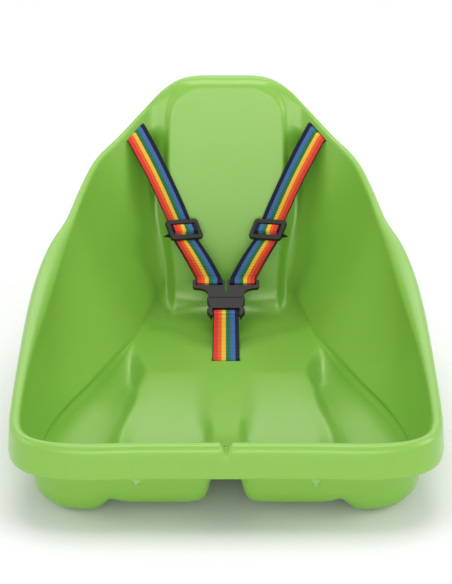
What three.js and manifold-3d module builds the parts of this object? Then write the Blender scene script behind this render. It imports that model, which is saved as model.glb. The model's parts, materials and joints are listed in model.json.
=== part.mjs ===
// Baby pull sled: a thin moulded tub with a three-strap harness and a two-tongue buckle.
// Millimetres, +Z up, X across, -Y to the front. The origin is on the ground under the middle.
import * as THREE from "three";
import { mergeVertices } from "three/addons/utils/BufferGeometryUtils.js";
import Module from "manifold-3d";

const wasm = await Module();
wasm.setup();

// Driving dimensions of the moulded shell.
const halfWidth = 204;
const halfLength = 311;
const backHeight = 282;
const wall = 3.2;
const skirtWall = 2.4;
const rollWidth = 17.5;
const skirtDepth = 33;
const filletRadius = 36;
const sideBulge = 9;
const footHeight = 28;
const groundTrim = 0.3;
const creaseDepth = 1.8;

// Floor of the tub: heights of the moulded inside face.
const wellHeight = 13;
const seatHeight = 26;
const dishHeight = 3.1;
const runnerHeight = wall - groundTrim;
const ridgeNoseHeight = 52;
const ridgeHalfWidth = 12;
const ridgeSide = 10;
const ridgeNoseSide = 11;
const ridgeNoseStart = 150;
const ridgeNoseRun = 130;
const seatFrontStart = -150;
const seatFrontRun = 150;
const dishStart = 45;
const dishRun = 112;
const dishVeeShare = 0.75;
const runnerSide = 20;
const edgeBead = 5;
const edgeBeadWidth = 16;
const pocketFade = 42;

// Back rest: a raised pad with a channel on each side.
const padRise = 11;
const padHalfWidth = 72;
const padTopHalfWidth = 64;
const padTopInset = 14;
const padBottom = 38;
const padEdge = 11;
const padCorner = 40;

// Upright gutter between the back rest and each wing.
const gutterDepth = 12;
const gutterWidth = 12.5;
const gutterOffset = 12.2;
const gutterBow = 9;
const gutterSlotClearance = 22;

// Rope notch and rope holes at the front.
const notchHalfWidth = 7;
const notchDepth = 7;
const ropeHoleRadius = 4;
const ropeHoleSpan = 164;
const ropeHoleHeight = 42;

// Webbing of the harness, and the stops that hold its ends behind the shell.
const webbing = 30;
const webbingThickness = 1.6;
const gap = 0.35;
const slotPlay = 2;
const slotHeight = 5;
const slotInset = 9;
const strapSlotShare = 0.8028;
const crotchSlotY = 34.4;
const stopRadius = 2.6;
const stopOverhang = 3;
const wingStopClearance = 2.6;
const seatStopClearance = 0.7;
const strapLift = 4;
const strapBow = 1.5;
const strapTurn = 1.4;
const slotTurn = 2.2;
const tailLength = 34;

// Buckle: x across, t along it towards the back rest, n out of its front face.
const buckleSetback = 58.5;
const buckleZ = 40.7;
const buckleTilt = THREE.MathUtils.degToRad(34);
const housingThickness = 9.6;
const mouthHalfWidth = 21.6;
const waistHalfWidth = 19.2;
const earHalfWidth = 22.4;
const earTaper = 3.4;
const plateCorner = 1.3;
const ridgeBand = 6.6;
const ridgeBandTop = 1.6;
const ridgeBandHeight = 0.7;
const ridgeBandInset = 1.4;
const plateLength = 23.5;
const housingSlot = 3.6;
const barLength = 5;
const barThickness = 4;
const earTail = 2;
const mouthStrip = 1.6;
const mouthDepth = 3.6;
const backWall = 1.5;
const bladeThickness = 3.6;
const bladeLength = 15;
const bladeWidth = 8.3;
const centreGap = 2.4;
const centreRib = 1.5;
const tongueHalfSpan = 40;
const tongueTop = 19.6;
const tongueBar = 4.4;
const tongueSlot = 4;
const tongueShoulder = 3.9;
const tongueFrame = 2.6;
const tongueThickness = 4.6;
const tongueBodyThickness = 6.6;
const tongueBody = 8.2;
const tongueCorner = 2.6;
const prongHingeAcross = 17.6;
const prongHingeAlong = 4.2;
const prongRoot = 2.1;
const prongArm = 3.2;
const prongGripHalfSpan = 22.5;
const prongLength = 21;
const prongTravel = 1.2;

// Adjusters: flat frames with a middle bar, a third of the way up each shoulder strap.
const adjusterShare = 0.34;
const adjusterWidth = 41.4;
const adjusterHeight = 28.8;
const adjusterThickness = 4;
const adjusterBar = 5.5;
const adjusterSide = 5.1;
const adjusterMiddle = 3.4;
const adjusterMiddleThickness = 2.4;
const adjusterCorner = 3.4;
const adjusterHeading = THREE.MathUtils.degToRad(22.3);
const adjusterRise = THREE.MathUtils.degToRad(33.4);
const adjusterRoll = THREE.MathUtils.degToRad(5.2);
const strapFacing = THREE.MathUtils.degToRad(20.5);
const shoulderTurn = THREE.MathUtils.degToRad(29);
const adjusterLead = 1.9;

// Station tables of the right half, from the middle of the front to the middle of the back.
// Rim: across, along and up, as shares of halfWidth, halfLength and backHeight.
const rimShares = [
  [0.000, -0.947, 0.305], [0.368, -0.947, 0.304], [0.672, -0.945, 0.301], [0.843, -0.912, 0.300],
  [0.922, -0.834, 0.305], [0.939, -0.706, 0.333], [0.939, -0.523, 0.369], [0.934, -0.330, 0.402],
  [0.926, -0.121, 0.434], [0.912, 0.088, 0.472], [0.882, 0.259, 0.521], [0.836, 0.410, 0.567],
  [0.792, 0.580, 0.631], [0.721, 0.735, 0.707], [0.600, 0.838, 0.775], [0.461, 0.915, 0.869],
  [0.348, 0.950, 0.947], [0.221, 0.965, 0.991], [0.000, 0.969, 0.996],
];
// Foot of the walls: across and along, as shares of halfWidth and halfLength.
const footShares = [
  [0.000, -0.905], [0.368, -0.905], [0.665, -0.902], [0.818, -0.863], [0.875, -0.780],
  [0.882, -0.658], [0.850, -0.474], [0.786, -0.304], [0.691, -0.121], [0.598, 0.079],
  [0.515, 0.265], [0.480, 0.420], [0.456, 0.564], [0.431, 0.683], [0.417, 0.760],
  [0.392, 0.805], [0.324, 0.828], [0.196, 0.834], [0.000, 0.838],
];
// Roll width, skirt depth, foot fillet and outward bulge, as shares of their largest values.
const sectionShares = [
  [0.8, 0.939, 0.72, 0.0], [0.8, 0.939, 0.72, 0.1], [0.8, 0.94, 0.72, 0.1], [0.714, 0.93, 0.72, 0.1],
  [0.629, 0.93, 0.75, 0.1], [0.6, 0.9, 0.75, 0.2], [0.686, 0.818, 0.75, 0.45], [0.829, 0.667, 0.72, 0.65],
  [0.971, 0.545, 0.7, 0.9], [1.0, 0.485, 0.55, 1.0], [0.857, 0.455, 0.389, 1.0], [0.543, 0.394, 0.333, 0.9],
  [0.457, 0.303, 0.389, 0.8], [0.429, 0.212, 0.556, 0.65],
  [0.4, 0.167, 0.778, 0.45], [0.4, 0.167, 0.944, 0.2],
  [0.429, 0.212, 1.0, 0.0], [0.486, 0.242, 1.0, 0.0], [0.514, 0.242, 1.0, 0.0],
];
// Edge of the seat and leg wells: along as a share of halfLength, across as a share of halfWidth.
const edgeShares = [
  [-1.0, 0.565], [-0.466, 0.56], [-0.145, 0.49], [0.035, 0.456], [0.26, 0.475], [0.42, 0.455], [1.0, 0.3],
];
// Rim roll section: outward and up, as shares of the roll width; the last point is on the wall.
const rollShares = [[1.0, -0.55], [0.94, -0.22], [0.72, 0.05], [0.36, 0.1]];
const rollEaseShare = 0.45;
const backPadShare = 0.68;
const backPadFadeShare = 0.06;
const edgeLimitShare = 0.93;
const skirtFlareShare = 0.05;
const creaseShares = [[0, 0], [4.6, 0], [6.2, 1], [9.2, 1], [10.6, 0], [18, 0]];
const creaseTopShare = 0.94;
const wallShares = [0.14, 0.28, 0.42, 0.56, 0.7, 0.84, 0.94, 1.0];
const seatColumnShares = [0.0, 0.065, 0.11, 0.15, 0.2, 0.34, 0.54, 0.74, 0.86, 0.94, 1.0];
const pocketColumnShares = [0.14, 0.32, 0.6, 0.83, 0.95, 1.0];
// Rows of the floor grid, counted in rows of the station tables.
const rowShares = [
  2.55, 3.0, 3.5, 4.0, 4.6, 5.3, 6.0, 6.7, 7.3, 7.75, 8.0, 8.25, 8.6, 9.0, 9.5, 10.0,
  10.6, 11.2, 11.9, 12.6, 13.2, 13.7, 14.05, 14.35, 14.65, 14.9, 15.2,
];

const lastStation = rimShares.length - 1;
const frontCorner = rowShares[0];
const backCorner = rowShares[rowShares.length - 1];
const padTop = backHeight - padTopInset;

const mix = (a, b, s) => a + (b - a) * s;
const clamp01 = (s) => Math.min(1, Math.max(0, s));
const ease = (s) => clamp01(s) ** 2 * (3 - 2 * clamp01(s));

// Smooth curve through one column of a station table, mirrored at both ends.
function along(table, column, station, mirrorSign = 1) {
  const last = table.length - 1;
  const k = Math.min(last - 1, Math.max(0, Math.floor(station)));
  const f = station - k;
  const at = (i) => {
    if (i < 0) return mirrorSign * table[-i][column];
    if (i > last) return mirrorSign * table[2 * last - i][column];
    return table[i][column];
  };
  const [a, b, c, d] = [at(k - 1), at(k), at(k + 1), at(k + 2)];
  return b + 0.5 * f * (c - a + f * (2 * a - 5 * b + 4 * c - d + f * (3 * (b - c) + d - a)));
}

function table(rows, x) {
  let k = 0;
  while (k < rows.length - 2 && x > rows[k + 1][0]) k += 1;
  const [x0, y0] = rows[k];
  const [x1, y1] = rows[k + 1];
  return mix(y0, y1, ease((x - x0) / (x1 - x0)));
}

const rimAt = (station) => new THREE.Vector3(
  halfWidth * along(rimShares, 0, station, -1),
  halfLength * along(rimShares, 1, station),
  backHeight * along(rimShares, 2, station),
);

// The middle of the front is lifted, so that the pommel ridge runs out over a tunnel.
function footHeightAt(x, y) {
  const nose = ease((-ridgeNoseStart - y) / ridgeNoseRun);
  const side = 1 - ease((Math.abs(x) - ridgeHalfWidth) / ridgeNoseSide);
  return mix(footHeight, Math.max(footHeight, ridgeNoseHeight), nose * side);
}

function footAt(station) {
  const x = halfWidth * along(footShares, 0, station, -1);
  const y = halfLength * along(footShares, 1, station);
  return new THREE.Vector3(x, y, footHeightAt(x, y));
}
const sectionAt = (station) => ({
  roll: rollWidth * along(sectionShares, 0, station),
  skirt: skirtDepth * along(sectionShares, 1, station),
  fillet: filletRadius * along(sectionShares, 2, station),
  bulge: sideBulge * along(sectionShares, 3, station),
});

// Frame of the rim at a station: outward in plan, and up across the rim.
function rimFrame(station) {
  const step = 0.02;
  const tangent = rimAt(station + step).sub(rimAt(station - step)).normalize();
  const out = new THREE.Vector3(tangent.y, -tangent.x, 0).normalize();
  const up = new THREE.Vector3().crossVectors(out, tangent).normalize();
  return { tangent, out, up };
}

// Depth of the rope notch, pressed into the roll at the middle of the front.
const notch = (p) => (p.y < 0 ? notchDepth * Math.max(0, 1 - Math.abs(p.x) / notchHalfWidth) : 0);

function rimPoint(station, outShare, upShare, flare = 0, drop = 0) {
  const { out, up } = rimFrame(station);
  const { roll } = sectionAt(station);
  const p = rimAt(station);
  p.addScaledVector(out, roll * outShare + flare);
  p.addScaledVector(up, roll * upShare - drop);
  return p;
}

// The wall starts a little under the rim line, so that the roll can turn into it.
function wallTop(station) {
  const { roll } = sectionAt(station);
  const rim = rimAt(station);
  const down = footAt(station).sub(rim).normalize();
  return rim.addScaledVector(down, rollEaseShare * roll * (roll / rollWidth));
}

// Forward rise of the back pad at a place on the back.
function padAt(x, z) {
  const halfWidthHere = mix(padHalfWidth, padTopHalfWidth, ease((z - padBottom) / (padTop - padBottom)));
  const dx = Math.max(0, Math.abs(x) - (halfWidthHere - padCorner));
  const dz = Math.max(0, z - (padTop - padCorner));
  const inside = padCorner - Math.hypot(dx, dz);
  return padRise * ease(inside / padEdge + 0.5) * ease((z - padBottom) / (3 * padEdge) + 0.5);
}

// Backward recess of the gutter at a place on the back.
function gutterAt(x, z) {
  const gutterTop = rightSlot.point.z - gutterSlotClearance;
  const bow = gutterBow * Math.sin(Math.PI * clamp01(z / gutterTop));
  const middle = footAt(backCorner).x + gutterOffset + bow;
  const q = clamp01(Math.abs(Math.abs(x) - middle) / gutterWidth);
  return gutterDepth * (1 - q * q) ** 2 * (1 - ease((z - gutterTop) / (2 * padEdge)));
}

function wallPoint(station, share) {
  const top = wallTop(station);
  const p = top.lerp(footAt(station), share);
  const { out } = rimFrame(station);
  const { bulge } = sectionAt(station);
  p.addScaledVector(out, bulge * 4 * share * (1 - share));
  const crease = creaseDepth * table(creaseShares, station);
  p.addScaledVector(out, crease * clamp01((share - creaseTopShare) / (1 - creaseTopShare)));
  const behind = ease((p.y - halfLength * backPadShare) / (halfLength * backPadFadeShare));
  p.y += behind * (gutterAt(p.x, p.z) - padAt(p.x, p.z));
  return p;
}

// All points of one section, from the skirt's edge to the foot of the wall.
function sectionPoints(station) {
  const { skirt } = sectionAt(station);
  const points = [rimPoint(station, rollShares[0][0], 0, skirt * skirtFlareShare, skirt)];
  for (const [out, up] of rollShares) points.push(rimPoint(station, out, up));
  const last = points[points.length - 1];
  const start = wallPoint(station, 0);
  const rim = rimAt(station);
  points.push(last.clone().multiplyScalar(0.25).addScaledVector(rim, 0.5).addScaledVector(start, 0.25));
  points.push(start);
  for (const share of wallShares) points.push(wallPoint(station, share));
  const rollEnd = points.length - wallShares.length;
  for (let k = 1; k < rollEnd; k += 1) points[k].z -= notch(points[k]);
  return points;
}

// Floor: distance to the foot of the walls, from a fine polyline of the right half.
const footLine = [];
const footSteps = 20;
for (let i = 0; i <= lastStation * footSteps; i += 1) {
  footLine.push({ station: i / footSteps, p: footAt(i / footSteps) });
}

function nearestFoot(x, y) {
  let best = { distance: Infinity, station: 0 };
  for (let i = 0; i < footLine.length - 1; i += 1) {
    const a = footLine[i].p;
    const b = footLine[i + 1].p;
    const ux = b.x - a.x;
    const uy = b.y - a.y;
    const t = clamp01(((x - a.x) * ux + (y - a.y) * uy) / (ux * ux + uy * uy));
    const distance = Math.hypot(x - a.x - t * ux, y - a.y - t * uy);
    if (distance < best.distance) best = { distance, station: footLine[i].station + t / footSteps };
  }
  return best;
}

const edgeAt = (y) => halfWidth * table(edgeShares, y / halfLength);

// Height of the floor without its fillet: wells, ridge, seat, dish and runner pockets.
function plainFloor(x, y, footX) {
  const ax = Math.abs(x);
  const seatMask = ease((y - seatFrontStart) / seatFrontRun);
  const nose = ease((-ridgeNoseStart - y) / ridgeNoseRun);
  const ridgeMask = 1 - ease((ax - ridgeHalfWidth) / mix(ridgeSide, ridgeNoseSide, nose));
  const dish = ease((y - dishStart - dishVeeShare * ax) / dishRun);
  const top = y < 0 ? mix(seatHeight, ridgeNoseHeight, nose) : mix(seatHeight, dishHeight, dish);
  const edge = edgeAt(y);
  const bead = (1 - seatMask) * edgeBead * (1 - ease(Math.abs(ax - edge) / edgeBeadWidth));
  const inner = mix(wellHeight, top, 1 - (1 - seatMask) * (1 - ridgeMask)) + bead;
  const depth = ease((footX - edge) / pocketFade);
  return mix(inner, runnerHeight, depth * ease((ax - edge) / runnerSide));
}

function floorPoint(x, y, footX) {
  const { distance, station } = nearestFoot(Math.abs(x), y);
  const reach = clamp01(1 - distance / sectionAt(station).fillet);
  const rise = 1 - Math.sqrt(1 - reach * reach);
  return new THREE.Vector3(x, y, mix(plainFloor(x, y, footX), footHeightAt(x, y), rise));
}

// Grid of the shell: columns across, rows along; the edge of the grid is the foot of the walls.
const columns = seatColumnShares.length + pocketColumnShares.length - 1;
const rows = rowShares.length - 1;

function acrossAt(column, footX, y) {
  const edge = Math.min(edgeAt(y), footX * edgeLimitShare);
  if (column < seatColumnShares.length) return edge * seatColumnShares[column];
  return mix(edge, footX, pocketColumnShares[column - seatColumnShares.length]);
}
// Station on the front or back edge whose foot lies at a given distance across.
function stationAcross(x, from, to) {
  let [low, high] = [from, to];
  for (let i = 0; i < 40; i += 1) {
    const middle = (low + high) / 2;
    const less = footAt(middle).x < x;
    if (less) low = middle;
    else high = middle;
  }
  return (low + high) / 2;
}

function shellGeometry() {
  const stationOf = (row, column) => {
    const k = Math.abs(column);
    if (row > 0 && row < rows) return rowShares[row];
    const corner = row === 0 ? frontCorner : backCorner;
    const foot = footAt(corner);
    if (k === columns) return corner;
    if (k === 0) return row === 0 ? 0 : lastStation;
    const across = acrossAt(k, foot.x, foot.y);
    return stationAcross(across, row === 0 ? 0 : lastStation, corner);
  };

  // Walk round the edge of the grid: front, right, back, left.
  const edge = [];
  for (let i = 0; i < columns; i += 1) edge.push([0, i]);
  for (let j = 0; j < rows; j += 1) edge.push([j, columns]);
  for (let i = columns; i > -columns; i -= 1) edge.push([rows, i]);
  for (let j = rows; j > 0; j -= 1) edge.push([j, -columns]);
  for (let i = -columns; i < 0; i += 1) edge.push([0, i]);

  const points = [];
  const edgeIndex = new Map();
  const rings = wallShares.length + rollShares.length + 3;
  edge.forEach(([row, column], loop) => {
    const section = sectionPoints(stationOf(row, column));
    const side = column < 0 ? -1 : 1;
    section.forEach((p, ring) => {
      points[ring * edge.length + loop] = new THREE.Vector3(side * p.x, p.y, p.z);
    });
    edgeIndex.set(`${row},${column}`, (rings - 1) * edge.length + loop);
  });
  const frontFoot = [];
  const backFoot = [];
  for (let k = 0; k <= columns; k += 1) {
    frontFoot.push(footAt(stationOf(0, k)).y);
    backFoot.push(footAt(stationOf(rows, k)).y);
  }

  const grid = (row, column) => {
    const key = `${row},${column}`;
    if (edgeIndex.has(key)) return edgeIndex.get(key);
    const foot = footAt(rowShares[row]);
    const first = frontFoot[columns];
    const last = backFoot[columns];
    const v = (foot.y - first) / (last - first);
    const k = Math.abs(column);
    const bend = (1 - v) ** 3 * (frontFoot[k] - first) + v ** 3 * (backFoot[k] - last);
    const x = Math.sign(column) * acrossAt(k, foot.x, foot.y);
    points.push(floorPoint(x, foot.y + bend, foot.x));
    edgeIndex.set(key, points.length - 1);
    return points.length - 1;
  };

  const faces = [];
  const quad = (a, b, c, d) => faces.push([a, b, c], [a, c, d]);
  for (let ring = 0; ring < rings - 1; ring += 1) {
    for (let loop = 0; loop < edge.length; loop += 1) {
      const next = (loop + 1) % edge.length;
      const a = ring * edge.length;
      const b = (ring + 1) * edge.length;
      quad(a + loop, a + next, b + next, b + loop);
    }
  }
  for (let row = 0; row < rows; row += 1) {
    for (let column = -columns; column < columns; column += 1) {
      const near = [grid(row, column), grid(row, column + 1)];
      const corners = [...near, grid(row + 1, column + 1), grid(row + 1, column)];
      if (column < 0) quad(corners[1], corners[2], corners[3], corners[0]);
      else quad(...corners);
    }
  }
  return { points, faces, loopSize: edge.length, rings };
}

// Area-weighted normals of a face list.
function vertexNormals(points, faces) {
  const normals = points.map(() => new THREE.Vector3());
  const ab = new THREE.Vector3();
  const ac = new THREE.Vector3();
  for (const [a, b, c] of faces) {
    ab.subVectors(points[b], points[a]);
    ac.subVectors(points[c], points[a]);
    ab.cross(ac);
    for (const i of [a, b, c]) normals[i].add(ab);
  }
  return normals.map((n) => n.normalize());
}

function toGeometry(points, faces) {
  const geometry = new THREE.BufferGeometry();
  const values = points.flatMap((p) => [p.x, p.y, p.z]);
  geometry.setAttribute("position", new THREE.Float32BufferAttribute(values, 3));
  geometry.setIndex(faces.flat());
  return geometry;
}

// Manifold solids and back.
function solid(geometry) {
  const bare = geometry.clone();
  bare.deleteAttribute("normal");
  bare.deleteAttribute("uv");
  const merged = mergeVertices(bare, 1e-4);
  return new wasm.Manifold(new wasm.Mesh({
    numProp: 3,
    vertProperties: new Float32Array(merged.attributes.position.array),
    triVerts: new Uint32Array(merged.index.array),
  }));
}

function fromSolid(manifold) {
  const mesh = manifold.getMesh();
  const geometry = new THREE.BufferGeometry();
  geometry.setAttribute("position", new THREE.BufferAttribute(new Float32Array(mesh.vertProperties), 3));
  geometry.setIndex(new THREE.BufferAttribute(new Uint32Array(mesh.triVerts), 1));
  return geometry;
}

function box(width, depth, height, matrix) {
  return solid(new THREE.BoxGeometry(width, depth, height).applyMatrix4(matrix));
}

// Matrix of a frame: three unit axes and an origin.
function frameMatrix(x, y, z, origin) {
  return new THREE.Matrix4().makeBasis(x, y, z).setPosition(origin);
}

// The shell: top skin, offset skin and the edge strip between them.
function shellSolid() {
  const { points, faces, loopSize, rings } = shellGeometry();
  const normals = vertexNormals(points, faces);
  const count = points.length;
  const under = points.map((p, i) => {
    const ring = Math.floor(i / loopSize);
    const onRoll = ring < rings - wallShares.length - 1;
    return p.clone().addScaledVector(normals[i], -(onRoll ? skirtWall : wall));
  });
  const all = [...faces, ...faces.map(([a, b, c]) => [a + count, c + count, b + count])];
  for (let loop = 0; loop < loopSize; loop += 1) {
    const next = (loop + 1) % loopSize;
    all.push([loop, loop + count, next + count], [loop, next + count, next]);
  }
  return solid(toGeometry([...points, ...under], all));
}

const X = new THREE.Vector3(1, 0, 0);
const Y = new THREE.Vector3(0, 1, 0);
const Z = new THREE.Vector3(0, 0, 1);

// Place of a strap slot on the right wing: along the rim, into the wing and down from the rim.
function wingSlot() {
  const station = lastStation * strapSlotShare;
  const top = wallTop(station);
  const down = footAt(station).sub(top).normalize();
  const point = top.addScaledVector(down, slotInset);
  const { tangent } = rimFrame(station);
  const front = new THREE.Vector3().crossVectors(tangent, down).normalize();
  const across = new THREE.Vector3().crossVectors(front, tangent).normalize();
  const stopDepth = wall + stopRadius + wingStopClearance;
  return { point, width: tangent.negate(), depth: front.clone().negate(), across, stopDepth };
}

const rightSlot = wingSlot();
const seatSlot = {
  point: new THREE.Vector3(0, crotchSlotY, seatHeight),
  width: X.clone(),
  depth: Z.clone().negate(),
  across: Y.clone().negate(),
  stopDepth: wall + stopRadius + seatStopClearance,
};
const cutDepth = 4 * wall;
const slotCut = (place) => box(
  webbing + slotPlay, slotHeight, cutDepth,
  frameMatrix(place.width, new THREE.Vector3().crossVectors(place.depth, place.width), place.depth, place.point),
);

// Webbing: a ribbon of constant thickness along centres with half-width vectors.
function ribbon(path, thickness) {
  const points = [];
  path.forEach(({ c, w }, i) => {
    const before = c.clone().sub(path[Math.max(0, i - 1)].c).normalize();
    const after = path[Math.min(path.length - 1, i + 1)].c.clone().sub(c).normalize();
    if (i === 0) before.copy(after);
    if (i === path.length - 1) after.copy(before);
    const along = before.clone().add(after).normalize();
    const normal = new THREE.Vector3().crossVectors(w, along).normalize();
    const half = thickness / 2 / Math.max(0.5, along.dot(before));
    for (const [side, face] of [[-1, 1], [1, 1], [1, -1], [-1, -1]]) {
      points.push(c.clone().addScaledVector(w, side).addScaledVector(normal, face * half));
    }
  });
  const faces = [];
  for (let i = 0; i < path.length - 1; i += 1) {
    for (let k = 0; k < 4; k += 1) {
      const a = 4 * i + k;
      const b = 4 * i + ((k + 1) % 4);
      faces.push([a, b, b + 4], [a, b + 4, a + 4]);
    }
  }
  const last = 4 * (path.length - 1);
  faces.push([0, 2, 1], [0, 3, 2], [last, last + 1, last + 2], [last, last + 2, last + 3]);
  return toGeometry(points, faces);
}

// Path with its marked corners turned into short curves.
const curveSteps = 4;
function rounded(corners) {
  const path = [];
  corners.forEach(({ c, w, turn }, i) => {
    if (!turn || i === 0 || i === corners.length - 1) {
      path.push({ c, w });
      return;
    }
    const back = corners[i - 1].c.clone().sub(c);
    const on = corners[i + 1].c.clone().sub(c);
    const reach = Math.min(turn, 0.45 * back.length(), 0.45 * on.length());
    const from = c.clone().addScaledVector(back.normalize(), reach);
    const to = c.clone().addScaledVector(on.normalize(), reach);
    for (let k = 0; k <= curveSteps; k += 1) {
      const f = k / curveSteps;
      const a = from.clone().lerp(c, f);
      path.push({ c: a.lerp(c.clone().lerp(to, f), f), w });
    }
  });
  return path;
}

const halfStrap = webbingThickness / 2;
const bend = gap + halfStrap;
const wrapRadius = stopRadius + bend;
const wrapSteps = 8;

// End of a strap: through its slot, round the stop and back to the underside of the shell.
function stopWrap(place) {
  const half = place.width.clone().multiplyScalar(webbing / 2);
  const into = (depth) => place.point.clone().addScaledVector(place.depth, depth);
  const at = (depth, across) => into(depth).addScaledVector(place.across, across);
  const { stopDepth } = place;
  const path = [];
  for (let k = 0; k <= wrapSteps; k += 1) {
    const angle = Math.PI * k / wrapSteps;
    const depth = stopDepth + wrapRadius * Math.sin(angle);
    path.push({ c: at(depth, wrapRadius * (1 - Math.cos(angle))), w: half });
  }
  return path;
}

function stopRod(place) {
  const rod = new THREE.CylinderGeometry(stopRadius, stopRadius, webbing + 2 * stopOverhang, 24);
  const middle = place.point.clone().addScaledVector(place.depth, place.stopDepth);
  middle.addScaledVector(place.across, wrapRadius);
  rod.applyMatrix4(frameMatrix(
    new THREE.Vector3().crossVectors(place.width, place.depth), place.width, place.depth, middle,
  ));
  return solid(rod);
}

// Buckle frame.
const buckleT = new THREE.Vector3(0, Math.cos(buckleTilt), Math.sin(buckleTilt));
const buckleN = new THREE.Vector3().crossVectors(X, buckleT);
const buckleOrigin = new THREE.Vector3(0, footAt(lastStation).y - buckleSetback, buckleZ);
const buckleMatrix = frameMatrix(X, buckleT, buckleN, buckleOrigin);
const onBuckle = (x, t, n) => new THREE.Vector3(x, t, n).applyMatrix4(buckleMatrix);

// A flat plate: an outline of [across, along] points with holes, centred on its own mid-plane.
function plate(outline, thickness, matrix, holes = [], lift = 0) {
  const shape = new THREE.Shape(outline.map(([x, t]) => new THREE.Vector2(x, t)));
  for (const hole of holes) shape.holes.push(new THREE.Path(hole.map(([x, t]) => new THREE.Vector2(x, t))));
  const geometry = new THREE.ExtrudeGeometry(shape, { depth: thickness, bevelEnabled: false });
  geometry.translate(0, 0, lift - thickness / 2);
  return solid(geometry.applyMatrix4(matrix));
}

const rectangle = (x0, x1, t0, t1) => [[x0, t0], [x1, t0], [x1, t1], [x0, t1]];
const cornerSteps = 4;
const softSteps = 3;
function roundedRectangle(x0, x1, t0, t1, radius) {
  const points = [];
  for (const [cx, ct, start] of [
    [x1 - radius, t0 + radius, -Math.PI / 2], [x1 - radius, t1 - radius, 0],
    [x0 + radius, t1 - radius, Math.PI / 2], [x0 + radius, t0 + radius, Math.PI],
  ]) {
    for (let k = 0; k <= cornerSteps; k += 1) {
      const angle = start + (Math.PI / 2) * k / cornerSteps;
      points.push([cx + radius * Math.cos(angle), ct + radius * Math.sin(angle)]);
    }
  }
  return points;
}

// Outline with every corner cut by a short arc.
function softened(outline, radius) {
  const points = [];
  outline.forEach(([x, t], i) => {
    const [bx, bt] = outline[(i + outline.length - 1) % outline.length];
    const [ax, at] = outline[(i + 1) % outline.length];
    const before = Math.hypot(bx - x, bt - t);
    const after = Math.hypot(ax - x, at - t);
    const reach = Math.min(radius, before / 3, after / 3);
    const from = [mix(x, bx, reach / before), mix(t, bt, reach / before)];
    const to = [mix(x, ax, reach / after), mix(t, at, reach / after)];
    for (let k = 0; k <= softSteps; k += 1) {
      const f = k / softSteps;
      points.push([0, 1].map((j) => mix(mix(from[j], [x, t][j], f), mix([x, t][j], to[j], f), f)));
    }
  });
  return points;
}

// Socket half of the buckle.
const cavityThickness = bladeThickness + 2 * gap;
const barTop = -(plateLength + housingSlot);
const barBottom = barTop - barLength;
const housingEnd = barBottom - earTail;
function housingSolid() {
  const right = [
    [mouthHalfWidth, 0], [mouthHalfWidth, -mouthDepth - ridgeBand],
    [waistHalfWidth, -plateLength + 2 * backWall],
    [waistHalfWidth, -plateLength + backWall], [earHalfWidth, -plateLength - backWall],
    [earHalfWidth, -plateLength - 2 * backWall], [earHalfWidth - earTaper, barBottom],
    [earHalfWidth - earTaper - earTail, housingEnd],
  ];
  const left = right.map(([x, t]) => [-x, t]).reverse();
  const slotHalf = (webbing + slotPlay) / 2;
  const throat = mouthHalfWidth - mouthStrip;
  let housing = plate(softened([...left, ...right], plateCorner), housingThickness, buckleMatrix);
  const bandHalf = mouthHalfWidth - ridgeBandInset;
  const bandOutline = rectangle(-bandHalf, bandHalf, -ridgeBandTop - ridgeBand, -ridgeBandTop);
  const band = softened(bandOutline, plateCorner);
  housing = housing.add(plate(band, housingThickness / 2 + ridgeBandHeight, buckleMatrix, [], (housingThickness / 2 + ridgeBandHeight) / 2));
  housing = housing.subtract(plate(rectangle(-slotHalf, slotHalf, barTop, -plateLength), 2 * housingThickness, buckleMatrix));
  const relief = rectangle(-slotHalf, slotHalf, 2 * housingEnd, barTop + housingSlot / 2);
  for (const side of [-1, 1]) {
    housing = housing.subtract(plate(relief, housingThickness, buckleMatrix, [], side * (barThickness + housingThickness) / 2));
  }
  housing = housing.subtract(plate(
    rectangle(-slotHalf, slotHalf, 2 * housingEnd, barBottom), 2 * housingThickness, buckleMatrix,
  ));
  const inside = -plateLength + backWall;
  for (const side of [-1, 1]) {
    const [near, far] = [centreRib / 2, throat].map((x) => side * x);
    const cavity = rectangle(Math.min(near, far), Math.max(near, far), inside, gap);
    housing = housing.subtract(plate(cavity, cavityThickness, buckleMatrix));
    const [start, end] = [throat - mouthStrip, 2 * throat].map((x) => side * x);
    const window = rectangle(Math.min(start, end), Math.max(start, end), inside, -mouthDepth);
    housing = housing.subtract(plate(window, cavityThickness, buckleMatrix));
  }
  return housing;
}

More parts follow.
